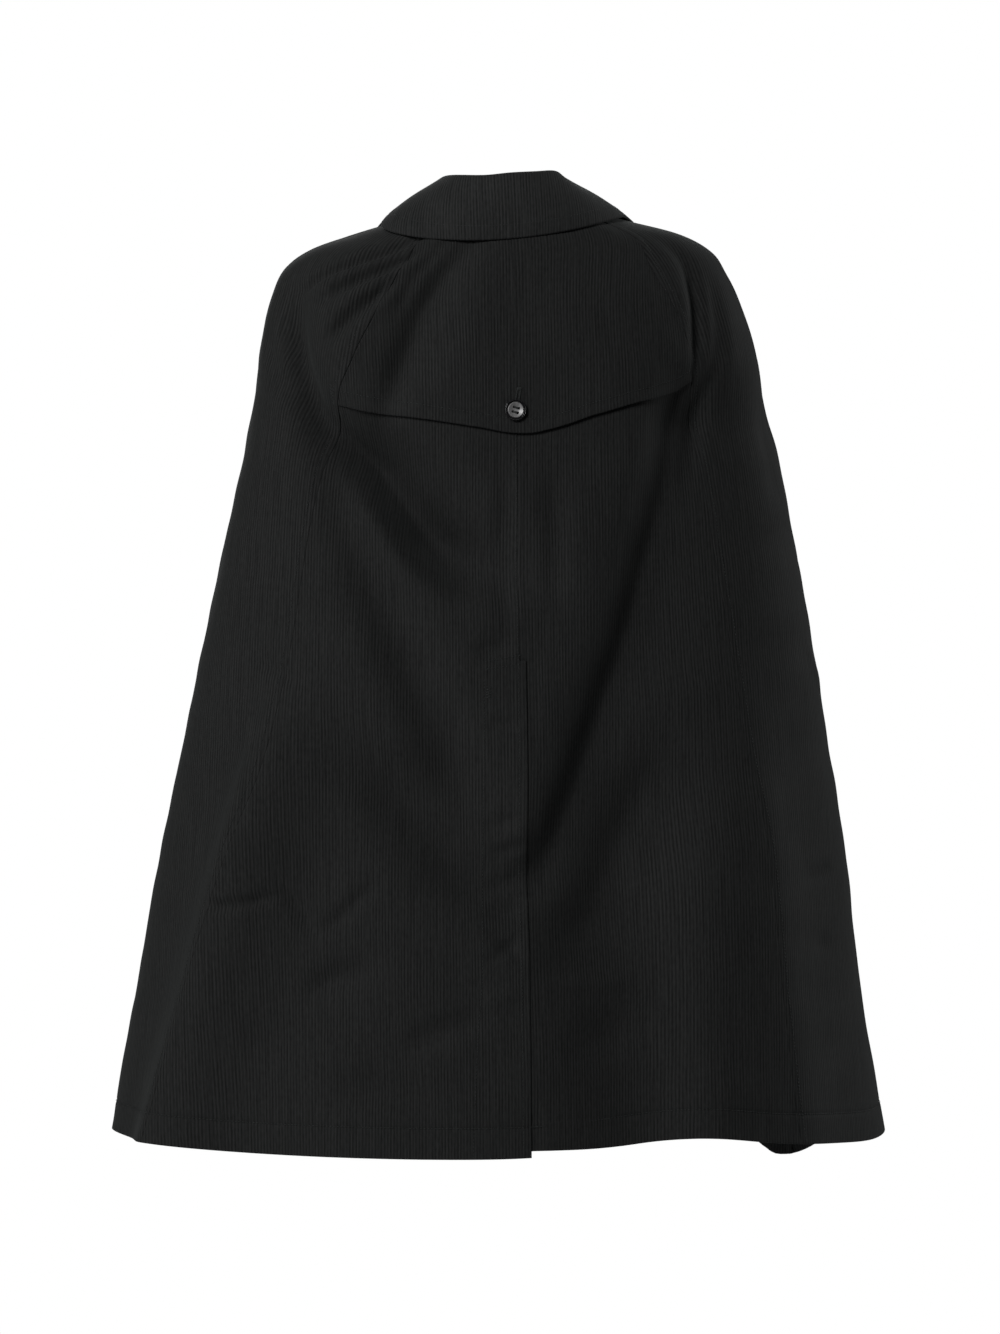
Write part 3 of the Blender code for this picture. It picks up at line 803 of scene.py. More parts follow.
class Reading:
    """A number socket of a node tree. Arithmetic on it adds Math nodes."""

    def __init__(self, graph: "Graph", socket: bpy.types.NodeSocket) -> None:
        """Keeps the graph and the socket."""
        self.graph = graph
        self.socket = socket

    def math(self, operation: str, *terms: "float | Reading") -> "Reading":
        """Result of a Math node on numbers, or on this number alone."""
        sockets = dict(enumerate(terms or (self,)))
        node = self.graph.node("ShaderNodeMath", {"operation": operation}, sockets)
        return Reading(self.graph, node.outputs[0])

    def __add__(self, other: "float | Reading") -> "Reading":
        """Sum."""
        return self.math("ADD", self, other)

    def __sub__(self, other: "float | Reading") -> "Reading":
        """Difference."""
        return self.math("SUBTRACT", self, other)

    def __rsub__(self, other: "float | Reading") -> "Reading":
        """Difference with this number second."""
        return self.math("SUBTRACT", other, self)

    def __mul__(self, other: "float | Reading") -> "Reading":
        """Product."""
        return self.math("MULTIPLY", self, other)

    __radd__ = __add__
    __rmul__ = __mul__

    def sine(self) -> "Reading":
        """Sine of the number in radians."""
        return self.math("SINE")

    def clamped(self) -> "Reading":
        """The number kept between 0 and 1."""
        least = self.math("MAXIMUM", self, 0.0)
        return least.math("MINIMUM", least, 1.0)


class NoiseScale(NamedTuple):
    """Scales of a noise along two coordinates, and its detail."""

    first: float
    second: float
    detail: float = 1.0


class Graph:
    """Node tree of one material, with its Principled shader."""

    def __init__(self, name: str) -> None:
        """Makes a material that holds only a Principled shader and its output."""
        self.material = bpy.data.materials.new(name)
        self.material.use_nodes = True
        self.tree = self.material.node_tree
        self.shader = self.tree.nodes["Principled BSDF"]

    def node(self, kind: str, settings: dict | None = None, sockets: dict | None = None) -> bpy.types.Node:
        """A node of a kind, with its settings and with what feeds its sockets."""
        node = self.tree.nodes.new(kind)
        for key, value in (settings or {}).items():
            setattr(node, key, value)
        self.feed(node, sockets or {})
        return node

    def feed(self, node: bpy.types.Node, sockets: dict) -> None:
        """Sets or links a node's sockets, by name or number, from values, sockets or readings."""
        for key, value in sockets.items():
            source = value.socket if isinstance(value, Reading) else value
            if isinstance(source, bpy.types.NodeSocket):
                self.tree.links.new(source, node.inputs[key])
            else:
                node.inputs[key].default_value = source

    def split(self, vector: bpy.types.NodeSocket) -> list[Reading]:
        """The three numbers of a vector."""
        parts = self.node("ShaderNodeSeparateXYZ", None, {0: vector})
        return [Reading(self, output) for output in parts.outputs]

    def object_place(self) -> list[Reading]:
        """The three object coordinates."""
        return self.split(self.node("ShaderNodeTexCoord").outputs["Object"])

    def noise(self, x: Reading, y: Reading, scale: NoiseScale) -> Reading:
        """Noise between about 0.2 and 0.8 over two coordinates."""
        place = self.node("ShaderNodeCombineXYZ", None, {"X": x * scale.first, "Y": y * scale.second})
        values = {"Vector": place.outputs[0], "Scale": 1.0, "Detail": scale.detail, "Roughness": 0.5}
        return Reading(self, self.node("ShaderNodeTexNoise", {"noise_dimensions": "2D"}, values).outputs[0])

    def mix(
        self, factor: Reading, dark: Colour, light: Colour | bpy.types.NodeSocket
    ) -> bpy.types.NodeSocket:
        """A colour between two by a number."""
        node = self.node("ShaderNodeMix", {"data_type": "RGBA"}, {0: factor, 6: dark, 7: light})
        return node.outputs[2]

    def bump(self, height: Reading, distance: float, strength: float) -> None:
        """Feeds the shader's normal from a height in units of a distance in metres."""
        values = {"Height": height, "Distance": distance, "Strength": strength}
        self.feed(self.shader, {"Normal": self.node("ShaderNodeBump", None, values).outputs[0]})

    def finished(self, sockets: dict) -> bpy.types.Material:
        """The material, with what feeds its shader."""
        self.feed(self.shader, sockets)
        return self.material


@dataclass(frozen=True)
class Gabardine:
    """Black cloth with a fine warp rib along the grain, uneven from thread to thread."""

    name: str = "black_gabardine_cloth"
    dark: Colour = (0.0095, 0.0098, 0.0098, 1.0)
    light: Colour = (0.0215, 0.0220, 0.0218, 1.0)
    mottle: float = 0.25
    rib: float = 2.9
    rib_wander: float = 9.0
    rib_gain: float = 2.4
    rib_loss: float = 0.5
    rib_tone: float = 0.48
    streak_tone: float = 0.75
    slub_tone: float = 0.7
    twill: float = 1.15
    twill_lean: float = 0.8
    roughness: float = 0.86
    specular: float = 0.06
    sheen: float = 0.04
    sheen_tint: Colour = (0.88, 0.96, 0.94, 1.0)
    sheen_roughness: float = 0.45
    patch_roughness: float = 0.16
    rib_polish: float = 0.04
    rib_height: float = 0.5
    streak_height: float = 0.4
    twill_height: float = 0.12
    relief: float = 0.00030
    relief_strength: float = 0.5
    drift: NoiseScale = NoiseScale(0.015, 0.005)
    strength: NoiseScale = NoiseScale(0.33, 0.024)
    streak: NoiseScale = NoiseScale(0.75, 0.018)
    slub: NoiseScale = NoiseScale(0.55, 0.16)
    patch: NoiseScale = NoiseScale(0.012, 0.014, 3.0)

    def material(self) -> bpy.types.Material:
        """Ribs are a sine across the grain, wandering in strength and phase, over streaks and a twill.

        Returns:
            The finished material.
        """
        graph = Graph(self.name)
        flat = graph.node("ShaderNodeUVMap", {"uv_map": GRAIN_MAP})
        across, along = (part * (1 / MM) for part in graph.split(flat.outputs[0])[:2])
        scales = (self.drift, self.strength, self.streak, self.slub, self.patch)
        drift, strength, streak, slub, patch = (graph.noise(across, along, scale) for scale in scales)
        rib = (across * (TAU / self.rib) + drift * self.rib_wander).sine()
        rib = rib * (strength * self.rib_gain - self.rib_loss).clamped()
        twill = ((across + along * self.twill_lean) * (TAU / self.twill)).sine()
        uneven = (streak - 0.5) * self.streak_tone + (slub - 0.5) * self.slub_tone
        uneven = uneven + (patch - 0.5) * self.mottle
        tone = rib * self.rib_tone + uneven + 0.5
        height = rib * self.rib_height + streak * self.streak_height + twill * self.twill_height
        graph.bump(height, self.relief, self.relief_strength)
        return graph.finished(
            {
                "Base Color": graph.mix(tone.clamped(), self.dark, self.light),
                "Roughness": (patch - 0.5) * self.patch_roughness + self.roughness - rib * self.rib_polish,
                "Specular IOR Level": self.specular,
                "Sheen Weight": self.sheen,
                "Sheen Roughness": self.sheen_roughness,
                "Sheen Tint": self.sheen_tint,
            }
        )


@dataclass(frozen=True)
class CollarGabardinePaintedLight(Gabardine):
    """The same cloth cut across for the collar, and more mottled; its lighter colours are painted light for
    the light that the upturned collar catches.
    """

    name: str = "black_gabardine_collar_painted_light"
    # dark and light: lighter than the body cloth, as painted light on the collar
    dark: Colour = (0.0115, 0.0119, 0.0119, 1.0)
    light: Colour = (0.0270, 0.0276, 0.0274, 1.0)
    mottle: float = 0.7


@dataclass(frozen=True)
class SewingThread:
    """Twisted black thread, a little glossier than the cloth, with the crest of each ply painted lighter as
    highlight.
    """

    dark: Colour = (0.010, 0.011, 0.011, 1.0)
    # light: painted highlight on the crest of each ply; the thread itself is black
    light: Colour = (0.036, 0.039, 0.038, 1.0)
    twist: float = 0.9
    roughness: float = 0.45
    ply_roughness: float = 0.1
    specular: float = 0.12
    slant: tuple[float, float] = (0.7, 1.3)
    relief: float = 0.0001
    relief_strength: float = 0.4

    def material(self) -> bpy.types.Material:
        """Ply bands are slanted sine bands over object coordinates: a real relief, with painted highlight on
        their crests in the colour.
        """
        graph = Graph("black_thread")
        x, y, z = graph.object_place()
        walk = x + y * self.slant[0] + z * self.slant[1]
        plies_and_painted_highlight = (walk * (TAU / (self.twist * MM))).sine() * 0.5 + 0.5
        graph.bump(plies_and_painted_highlight, self.relief, self.relief_strength)
        return graph.finished(
            {
                # the light bands of this colour are painted highlight along each ply
                "Base Color": graph.mix(plies_and_painted_highlight, self.dark, self.light),
                "Roughness": plies_and_painted_highlight * self.ply_roughness + self.roughness,
                "Specular IOR Level": self.specular,
            }
        )


@dataclass(frozen=True)
class Horn:
    """Near-black horn: a polished rim round a satin dish with faint streaks like clouds; the dish's grey
    colour is painted reflection of the lamps.
    """

    rim: Colour = (0.008, 0.008, 0.009, 1.0)
    # dark and light: the dish's grey, painted reflection of the lamps; the horn itself is near-black like
    # the rim
    dark: Colour = (0.090, 0.090, 0.091, 1.0)
    light: Colour = (0.170, 0.167, 0.168, 1.0)
    roughness: float = 0.15
    satin: float = 0.30
    coat: float = 0.5
    coat_roughness: float = 0.3
    cloud_lean: float = 160 / 420
    cloud_gain: float = 1.8
    cloud_loss: float = 0.4
    scuff_roughness: float = 0.1
    relief: float = 0.00006
    relief_strength: float = 0.3
    cloud: NoiseScale = NoiseScale(420, 130, 3.0)
    scuff: NoiseScale = NoiseScale(2600, 900, 2.0)

    def material(self) -> bpy.types.Material:
        """Streaks like clouds are noise stretched along one object axis over the dish's grey, which is
        painted reflection; the dish is marked point by point.
        """
        graph = Graph("black_horn_polished")
        x, _, z = graph.object_place()
        cloud = graph.noise(x + z * self.cloud_lean, z, self.cloud)
        scuff = graph.noise(x, z, self.scuff)
        dished = Reading(graph, graph.node("ShaderNodeAttribute", {"attribute_name": DISHED}).outputs["Fac"])
        # painted reflection: the dish's grey base colour, with streaks
        streaked_dish_painted_reflection = graph.mix((cloud * self.cloud_gain - self.cloud_loss).clamped(), self.dark, self.light)
        graph.bump(scuff, self.relief, self.relief_strength)
        return graph.finished(
            {
                "Base Color": graph.mix(dished, self.rim, streaked_dish_painted_reflection),
                "Roughness": scuff * self.scuff_roughness + dished * self.satin + self.roughness,
                "Specular IOR Level": dished * 0.5 + 0.5,
                "Coat Weight": dished * self.coat,
                "Coat Roughness": self.coat_roughness,
            }
        )


@dataclass(frozen=True)
class PalePaper:
    """Matt pale studio floor."""

    dark: Colour = (0.80, 0.80, 0.80, 1.0)
    light: Colour = (0.832, 0.832, 0.832, 1.0)
    mottle: NoiseScale = NoiseScale(3, 3, 2.0)

    def material(self) -> bpy.types.Material:
        """Faint mottling is noise over object coordinates."""
        graph = Graph("pale_studio_floor")
        x, y, _ = graph.object_place()
        colour = graph.mix(graph.noise(x, y, self.mottle), self.dark, self.light)
        return graph.finished({"Base Color": colour, "Roughness": 0.9, "Specular IOR Level": 0.1})


@dataclass
class Wardrobe:
    """The cape's form and finishes, shared by its sub-assemblies."""

    form: CapeForm = field(default_factory=CapeForm)
    cloth: bpy.types.Material = field(default_factory=lambda: Gabardine().material())
    # the collar's cloth is painted lighter for the light that the collar catches
    collar_cloth_painted_light: bpy.types.Material = field(default_factory=lambda: CollarGabardinePaintedLight().material())
    thread: bpy.types.Material = field(default_factory=lambda: SewingThread().material())
    horn: bpy.types.Material = field(default_factory=lambda: Horn().material())

    def settle(self, piece: bpy.types.Object, material: bpy.types.Material, slot: Slot, *nodes: str) -> None:
        """Dresses a piece, lets it ride on the cape's body and lets it stand for CAD nodes."""
        piece.data.materials.append(material)
        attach(piece, BODY)
        if nodes:
            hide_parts(*nodes)
        LOG.info("%s: %d faces", piece.name, len(piece.data.polygons))

    def hang(self, wall: ClothWall, node: str, held: str, rests_on: Sequence[str]) -> None:
        """Args:
            wall: the cloth wall.
            node: the CAD node that it stands for.
            held: how the cloth is held; not used.
            rests_on: what it hangs from or lies on; not used.
        """
        piece = wall.build()
        # collar pieces take the cloth that is painted lighter for the light they catch
        material = self.collar_cloth_painted_light if node.startswith("collar") else self.cloth
        self.settle(piece, material, Slot.GABARDINE, node)
        cut = wall.cut()
        LOG.info("%s: cut %.0f x %.0f mm", piece.name, cut.width / MM, cut.length / MM)


def edge_shares(width: float, step: float) -> Array:
    """Shares across a panel: even steps, closer at both borders so that edges are round and seams crisp."""
    close = np.array([0.0, 0.4, 1.0, 2.0, 3.4, 4.8, 6.0, 7.2, 8.6]) / width
    even = np.linspace(close[-1], 1 - close[-1], round(width / step) + 1)
    return np.concatenate([close[:-1], even, 1 - close[-2::-1]])


def edge_pinch(distance: Array, radius: Array | float) -> Array:
    """Share of the wall's thickness near an edge: a quarter circle of a radius, never quite nothing."""
    least = 0.18
    inside = np.clip(distance / radius, 0, 1)
    return np.maximum(np.sqrt(1 - np.square(1 - inside)), least)


@dataclass(frozen=True)
class SeamProfile:
    """How far sewing lifts or sinks the cloth near a border.

    A lapped seam is raised on top and sinks under the topstitch, and its other side dips beneath it. Where
    it is pressed flat the raised side lies level.
    """

    ply: float = 0.35
    ply_reach: float = 5.0
    ply_fade: float = 4.5
    bulge: float = 0.4
    bulge_reach: float = 3.0
    bulge_fade: float = 26.0
    groove: float = 0.40
    groove_at: float = 6.6
    groove_width: float = 1.1
    dip: float = 2.0
    dip_fade: float = 1.6
    centre_dip: float = 0.15
    centre_width: float = 2.6
    edge_groove: float = 0.30
    edge_groove_at: float = 7.0
    edge_groove_width: float = 1.2

    def swell(self, border: Border, distance: Array, pressed: Array | float = 0.0) -> Array:
        """Lift at a distance from a border.

        Args:
            border: how the border is sewn.
            distance: distances from the seam in millimetres, negative in the allowance.
            pressed: share of pressing, 1 for flat.

        Returns:
            Lift in millimetres.
        """
        if border is Border.RAGLAN_OVER:
            raised = self.ply * ends_past(distance, self.ply_reach, self.ply_fade)
            raised = raised + self.bulge * ends_past(distance, self.bulge_reach, self.bulge_fade)
            groove = self.groove * bell((distance - self.groove_at) / self.groove_width)
            return (raised - groove) * (1 - pressed)
        if border is Border.UNDER:
            return -self.dip * ease(-distance / self.dip_fade)
        if border is Border.CENTRE:
            return -self.centre_dip * bell(distance / self.centre_width)
        return -self.edge_groove * bell((distance - self.edge_groove_at) / self.edge_groove_width)


@dataclass
class PanelPlan:
    """One body panel: its borders by row and how it lies."""

    node: str
    rows: Array
    turns: Array
    first: Border
    last: Border
    grain_centre: float = 0.0
    grain_slant: float = 0.0
    allowance_first: float = 0.0
    allowance_last: float = 0.0
    tuck: Array | float = 0.0
    lift: Array | float = 0.0
    cells: Array | None = None
    pressed_from: float = 6.8

    def edges(self, walked: Array) -> tuple[Array, Array]:
        """Distances from the first and the last edge of the cells of each row, by length across the grid."""
        rows, columns = walked.shape
        first, last = np.zeros(rows, int), np.full(rows, columns - 1)
        if self.cells is not None:
            cells = np.concatenate([self.cells, self.cells[-1:]])
            first, last = cells.argmax(1), columns - 1 - cells[:, ::-1].argmax(1)
        row = np.arange(rows)
        return walked - walked[row, first][:, None], walked[row, last][:, None] - walked


@dataclass
class BodyPanels:
    """The six panels that hang from the neck: two backs, two shoulder panels and two fronts."""

    wardrobe: Wardrobe
    profile: SeamProfile = field(default_factory=SeamProfile)
    cloth: float = 1.3
    hem_turn: float = 0.9
    hem_turn_fade: float = 2.0
    hem_swell: float = 0.35
    hem_swell_fade: float = 4.0
    hem_groove: float = 0.55
    hem_groove_width: float = 1.3
    hem_room: float = 12.0
    hem_room_fade: float = 8.0
    edge_radius: float = 0.6
    pressed_edge: float = 0.35
    hem_radius: float = 1.0
    seam_gap: float = 0.3
    allowance: float = 6.0
    lap_gap: float = 0.5
    back_step: float = 3.6
    side_step: float = 4.4
    measured_at: float = HEM * 0.6
    vent_laps: tuple[float, ...] = (6.0, 5.4, 4.2, 2.1)
    vent_tucks: tuple[float, ...] = (0.7, 2.2)
    vent_under: float = 32.0
    vent_under_steps: int = 9
    vent_ramp: float = 24.0
    vent_hem_lift: float = 6.0
    vent_hem_lift_reach: float = 110.0
    front_lap: float = 30.0
    front_ramp: float = 26.0
    ramp_end: float = 8.0
    pressed_within: float = 1.6
    right_pressed_from: float = 4.2
    shoulder_slant: float = 140.0
    shoulder_slant_depth: float = 110.0

    def build(self) -> None:
        """Builds all six panels."""
        for plan in (*self.backs(), *self.shoulders(), *self.fronts()):
            self.wardrobe.hang(self.wall(plan), plan.node, "hung", ["collar_stand"])

    def wall(self, plan: PanelPlan) -> ClothWall:
        """A panel's wall: the creased cloth, moved by laps, sewing and the turned hem, with round edges.

        Args:
            plan: where the panel lies.

        Returns:
            The wall, ready to build.
        """
        form, rows, turns = self.wardrobe.form, plan.rows, plan.turns
        before, after = 2 * turns[:, :1] - turns[:, 1:2], 2 * turns[:, -1:] - turns[:, -2:-1]
        points = form.creased(np.concatenate([before, turns, after], 1), rows[:, None])
        out = grid_normals(points)[:, 1:-1]
        points = points[:, 1:-1]
        from_first, from_last = plan.edges(running_length(points, 1))
        from_hem = form.hem_distance(rows)[:, None]
        pressed = ease((rows - plan.pressed_from) / self.pressed_within)[:, None]
        swell = self.profile.swell(plan.first, from_first - plan.allowance_first, pressed)
        swell = swell + self.profile.swell(plan.last, from_last - plan.allowance_last, pressed)
        fade = self.hem_swell_fade
        swell = swell + self.hem_swell * ends_past(from_hem, form.hem_depth - fade / 2, fade)
        swell = swell - self.hem_groove * bell((from_hem - form.hem_depth) / self.hem_groove_width)
        outer = points + out * (swell - plan.tuck)[..., None]
        outer[..., 2] += plan.lift
        fade = self.hem_turn_fade
        depth = self.cloth + self.hem_turn * ends_past(from_hem, form.hem_depth - fade / 2, fade)
        middle = outer - out * depth[..., None] / 2
        pinch = edge_pinch(np.minimum(from_first, from_last), self.edge_radius - self.pressed_edge * pressed)
        pinch = pinch * edge_pinch(from_hem, self.hem_radius)
        half = out * (pinch * depth / 2)[..., None]
        down = running_length(points, 0)
        slant = plan.grain_slant * (1 - np.exp(-down / self.shoulder_slant_depth))
        grain = np.stack([form.round_length(turns, rows, plan.grain_centre) - slant, down], -1)
        return ClothWall(plan.node + "_cloth", middle + half, middle - half, grain, plan.cells)

    def between(self, start: Array, end: Array, step: float) -> Array:
        """A grid of turns across a panel, from its first border to its last at each row, at a spacing."""
        middle = len(start) // 2
        ends = np.array([[start[middle], end[middle]]])
        reach = self.wardrobe.form.round_length(ends, np.array([self.measured_at]), float(ends.mean()))
        shares = edge_shares(float(np.ptp(reach)), step)
        return start[:, None] + (end - start)[:, None] * shares[None, :]

    def beside(self, distances: Sequence[float], rows: Array) -> Array:
        """A grid of turns at distances from the centre back."""
        return np.stack([self.wardrobe.form.to_turn(d, rows, 0.0) for d in distances], 1)

    def lapped(self, distance: Array, reach: float, ramp: float) -> Array:
        """How far cloth sinks under its neighbour, down a ramp that starts before the lap's reach."""
        return (self.cloth + self.lap_gap) * ease((distance + reach + ramp) / (ramp - self.ramp_end))

    def with_hem_room(self, tuck: Array, rows: Array) -> Array:
        """A tuck made deeper where the neighbour's hem is turned up."""
        form = self.wardrobe.form
        near = ease((form.hem_depth + self.hem_room - form.hem_distance(rows)) / self.hem_room_fade)[:, None]
        return tuck + self.hem_turn * ease(tuck) * near

    def backs(self) -> list[PanelPlan]:
        """The backs, seamed down the centre to the vent, where the left one laps over the right."""
        form = self.wardrobe.form
        rows = form.rows(self.back_step)
        vent = float(form.section_at(CENTRE_BACK, form.vent_top)[0])
        vent_row = int(np.argmin(np.abs(rows - vent)))
        rows[vent_row] = vent
        opened = np.arange(len(rows)) >= vent_row
        gap = form.to_turn(self.seam_gap / 2, rows, 0.0)
        return [self.back_left(rows, opened, gap), self.back_right(rows, opened, gap)]

    def back_left(self, rows: Array, opened: Array, gap: Array) -> PanelPlan:
        """The left back, with a strip that laps over the right one down the vent.

        Args:
            rows: sections of the rows.
            opened: which rows are below the vent's top.
            gap: turn of half the seam's gap at each row.

        Returns:
            The panel's plan.
        """
        end = self.wardrobe.form.seam("back_left", rows, self.allowance)
        lap = -self.beside(self.vent_laps, rows)
        turns = np.concatenate([lap, self.between(gap, end, self.back_step)], 1)
        cells = np.ones((len(rows) - 1, turns.shape[1] - 1), bool)
        cells[:, : lap.shape[1]] = opened[:-1, None]
        borders = Border.CENTRE, Border.UNDER
        return PanelPlan("back_left", rows, turns, *borders, allowance_last=self.allowance, cells=cells)

    def back_right(self, rows: Array, opened: Array, gap: Array) -> PanelPlan:
        """The right back, whose seam allowance and underlap sink beneath the left one.

        Args:
            rows: sections of the rows.
            opened: which rows are below the vent's top.
            gap: turn of half the seam's gap at each row.

        Returns:
            The panel's plan.
        """
        form = self.wardrobe.form
        main = self.between(form.seam("back_right", rows, -self.allowance), -gap, self.back_step)
        wide = np.linspace(self.allowance, self.vent_under, self.vent_under_steps)
        turns = np.concatenate([main, self.beside((*self.vent_tucks, *wide), rows)], 1)
        distance = turns / form.to_turn(1.0, rows, 0.0)[:, None]
        sewn = -self.profile.swell(Border.UNDER, -distance)
        tuck = np.where(opened[:, None], self.lapped(distance, 0.0, self.vent_ramp), sewn)
        cells = np.ones((len(rows) - 1, turns.shape[1] - 1), bool)
        cells[:, main.shape[1] + len(self.vent_tucks) :] = opened[:-1, None]
        reach = ease(1 + distance / self.vent_hem_lift_reach)
        return PanelPlan(
            "back_right",
            rows,
            turns,
            Border.UNDER,
            Border.FREE,
            allowance_first=self.allowance,
            tuck=self.with_hem_room(tuck, rows),
            lift=self.vent_hem_lift * form.near_hem(rows)[:, None] * reach,
            cells=cells,
        )

    def shoulders(self) -> list[PanelPlan]:
        """The shoulder panels, cut in one from the neck over the shoulder to the hem."""
        form = self.wardrobe.form
        rows = form.rows(self.side_step)
        borders = Border.RAGLAN_OVER, Border.RAGLAN_OVER
        turns = self.between(form.seam("back_left", rows), form.seam("front_left", rows), self.side_step)
        left = PanelPlan("side_left", rows, turns, *borders, 0.0, self.shoulder_slant)
        turns = self.between(form.seam("front_right", rows), form.seam("back_right", rows), self.side_step)
        right = PanelPlan("side_right", rows, turns, *borders, 0.0, -self.shoulder_slant)
        right.pressed_from = self.right_pressed_from
        return [left, right]

    def fronts(self) -> list[PanelPlan]:
        """The fronts, lapped at the centre with the right one outside."""
        form = self.wardrobe.form
        rows = form.rows(self.side_step)
        lap = form.to_turn(self.front_lap, rows, math.pi)
        end = form.seam("front_right", rows, self.allowance)
        turns = self.between(-math.pi - lap, end, self.side_step)
        right = PanelPlan("front_right", rows, turns, Border.FREE, Border.UNDER, -math.pi)
        right.allowance_last = self.allowance
        start = form.seam("front_left", rows, -self.allowance)
        turns = self.between(start, math.pi + lap, self.side_step)
        distance = (turns - math.pi) / form.to_turn(1.0, rows, math.pi)[:, None]
        left = PanelPlan("front_left", rows, turns, Border.UNDER, Border.FREE, math.pi)
        left.allowance_first = self.allowance
        left.tuck = self.with_hem_room(self.lapped(distance, self.front_lap, self.front_ramp), rows)
        return [right, left]


@dataclass
class StormFlap:
    """The loose second layer over the upper back, with a turned and stitched edge."""

    wardrobe: Wardrobe
    cloth: float = 1.3
    lap_gap: float = 0.5
    stand_off: float = 1.8
    side_inset: float = 0.3
    side_rise: float = 0.10
    side_sunk: float = 0.7
    edge_turn: float = 0.6
    edge_turn_fade: float = 2.5
    edge_radius: float = 0.7
    stitch_in: float = 7.0
    groove: float = 0.4
    groove_width: float = 1.1
    columns: int = 120
    rows: int = 64
    edge_steps: int = 81
    place_steps: int = 801
    place_share: float = 0.9
    inset_turn: float = 0.8

    def edge_section(self, turn: Array) -> Array:
        """Section of the lower edge at each turn."""
        heights = along_column(FLAP_EDGE, np.degrees(turn))[..., 1]
        return self.wardrobe.form.section_at(turn, heights)

    def lift(self, place: Array, share: Array) -> Array:
        """How far the flap's inner face stands off the back, by share across and share of the depth.

        It grows with a soft square of the share of the depth, and sinks at both sides, which are sewn into
        the raglan seams.
        """
        free = ease(np.minimum(place, 1 - place) / self.side_rise)
        return (self.lap_gap + self.stand_off * np.square(ease(share))) * free - self.side_sunk * (1 - free)

    def layout(self, place: Array, share: Array) -> tuple[Array, Array]:
        """Turns and sections over the flap, whose sides follow the raglan seams.

        Args:
            place: share across, from the right side to the left.
            share: share of the depth, from the neck to the edge.

        Returns:
            Turns in radians and sections.
        """
        form = self.wardrobe.form
        sides = (form.seam(name, MIDDLE_SECTION)[0] for name in ("back_right", "back_left"))
        columns = np.linspace(*sides, self.edge_steps)
        section = np.interp(place, np.linspace(0, 1, self.edge_steps), self.edge_section(columns)) * share
        inset = form.to_turn(self.side_inset, section, self.inset_turn)
        left, right = form.seam("back_left", section) - inset, form.seam("back_right", section) + inset
        return right + (left - right) * place, section

    def face(self, place: Array, share: Array) -> Array:
        """Inner face of the flap: the creased back moved out by its stand-off."""
        form = self.wardrobe.form
        place, share = together(place, share)
        turns, section = self.layout(place, share)
        out = normals_of(form.folded, turns, section)
        return form.creased(turns, section) + out * self.lift(place, share)[..., None]

    def build(self) -> None:
        close = np.array([0.0, 0.0012, 0.003, 0.006])
        place = np.concatenate([close, np.linspace(0.01, 0.99, self.columns), 1 - close[::-1]])[None, :]
        near_edge = np.array([0.050, 0.044, 0.039, 0.034, 0.028, 0.020, 0.012, 0.006, 0.003, 0.0015, 0.0])
        share = np.concatenate([np.linspace(0, 0.944, self.rows), 1 - near_edge])[:, None]
        inner = self.face(place, share)
        out = grid_normals(inner)
        down, _, from_edge, border = borders_of(inner)
        depth = self.cloth + self.edge_turn * ends_past(from_edge, self.stitch_in, self.edge_turn_fade)
        depth = depth - self.groove * bell((from_edge - self.stitch_in) / self.groove_width)
        middle = inner + out * depth[..., None] / 2
        half = out * (edge_pinch(border, self.edge_radius) * depth / 2)[..., None]
        turns, section = self.layout(*together(place, share))
        flat = self.wardrobe.form.per_radian(np.zeros_like(turns), section) * turns
        wall = ClothWall("storm_flap_cloth", middle + half, middle - half, np.stack([flat, down], -1))
        self.wardrobe.hang(wall, "storm_flap", "hung", ["collar_stand", "back_left", "back_right"])

    def outside(self, place: Array, share: Array) -> tuple[Array, Array]:
        """Points of the flap's outer face and its normals, by share across and share of the depth."""
        turns, section = self.layout(np.asarray(place, float), np.asarray(share, float))
        out = normals_of(self.wardrobe.form.folded, turns, section)
        return self.face(place, share) + out * self.cloth, out

    def share_at(self, height: float) -> float:
        """Share of the depth at a height on the centre back."""
        section = self.wardrobe.form.section_at(CENTRE_BACK, height)[0]
        return float(section / self.edge_section(CENTRE_BACK)[0])

    def centre_place(self) -> float:
        """Share across at the centre back, near the edge."""
        place = np.linspace(0, 1, self.place_steps)
        turns, _ = self.layout(place, np.full_like(place, self.place_share))
        return float(np.interp(0.0, turns, place))


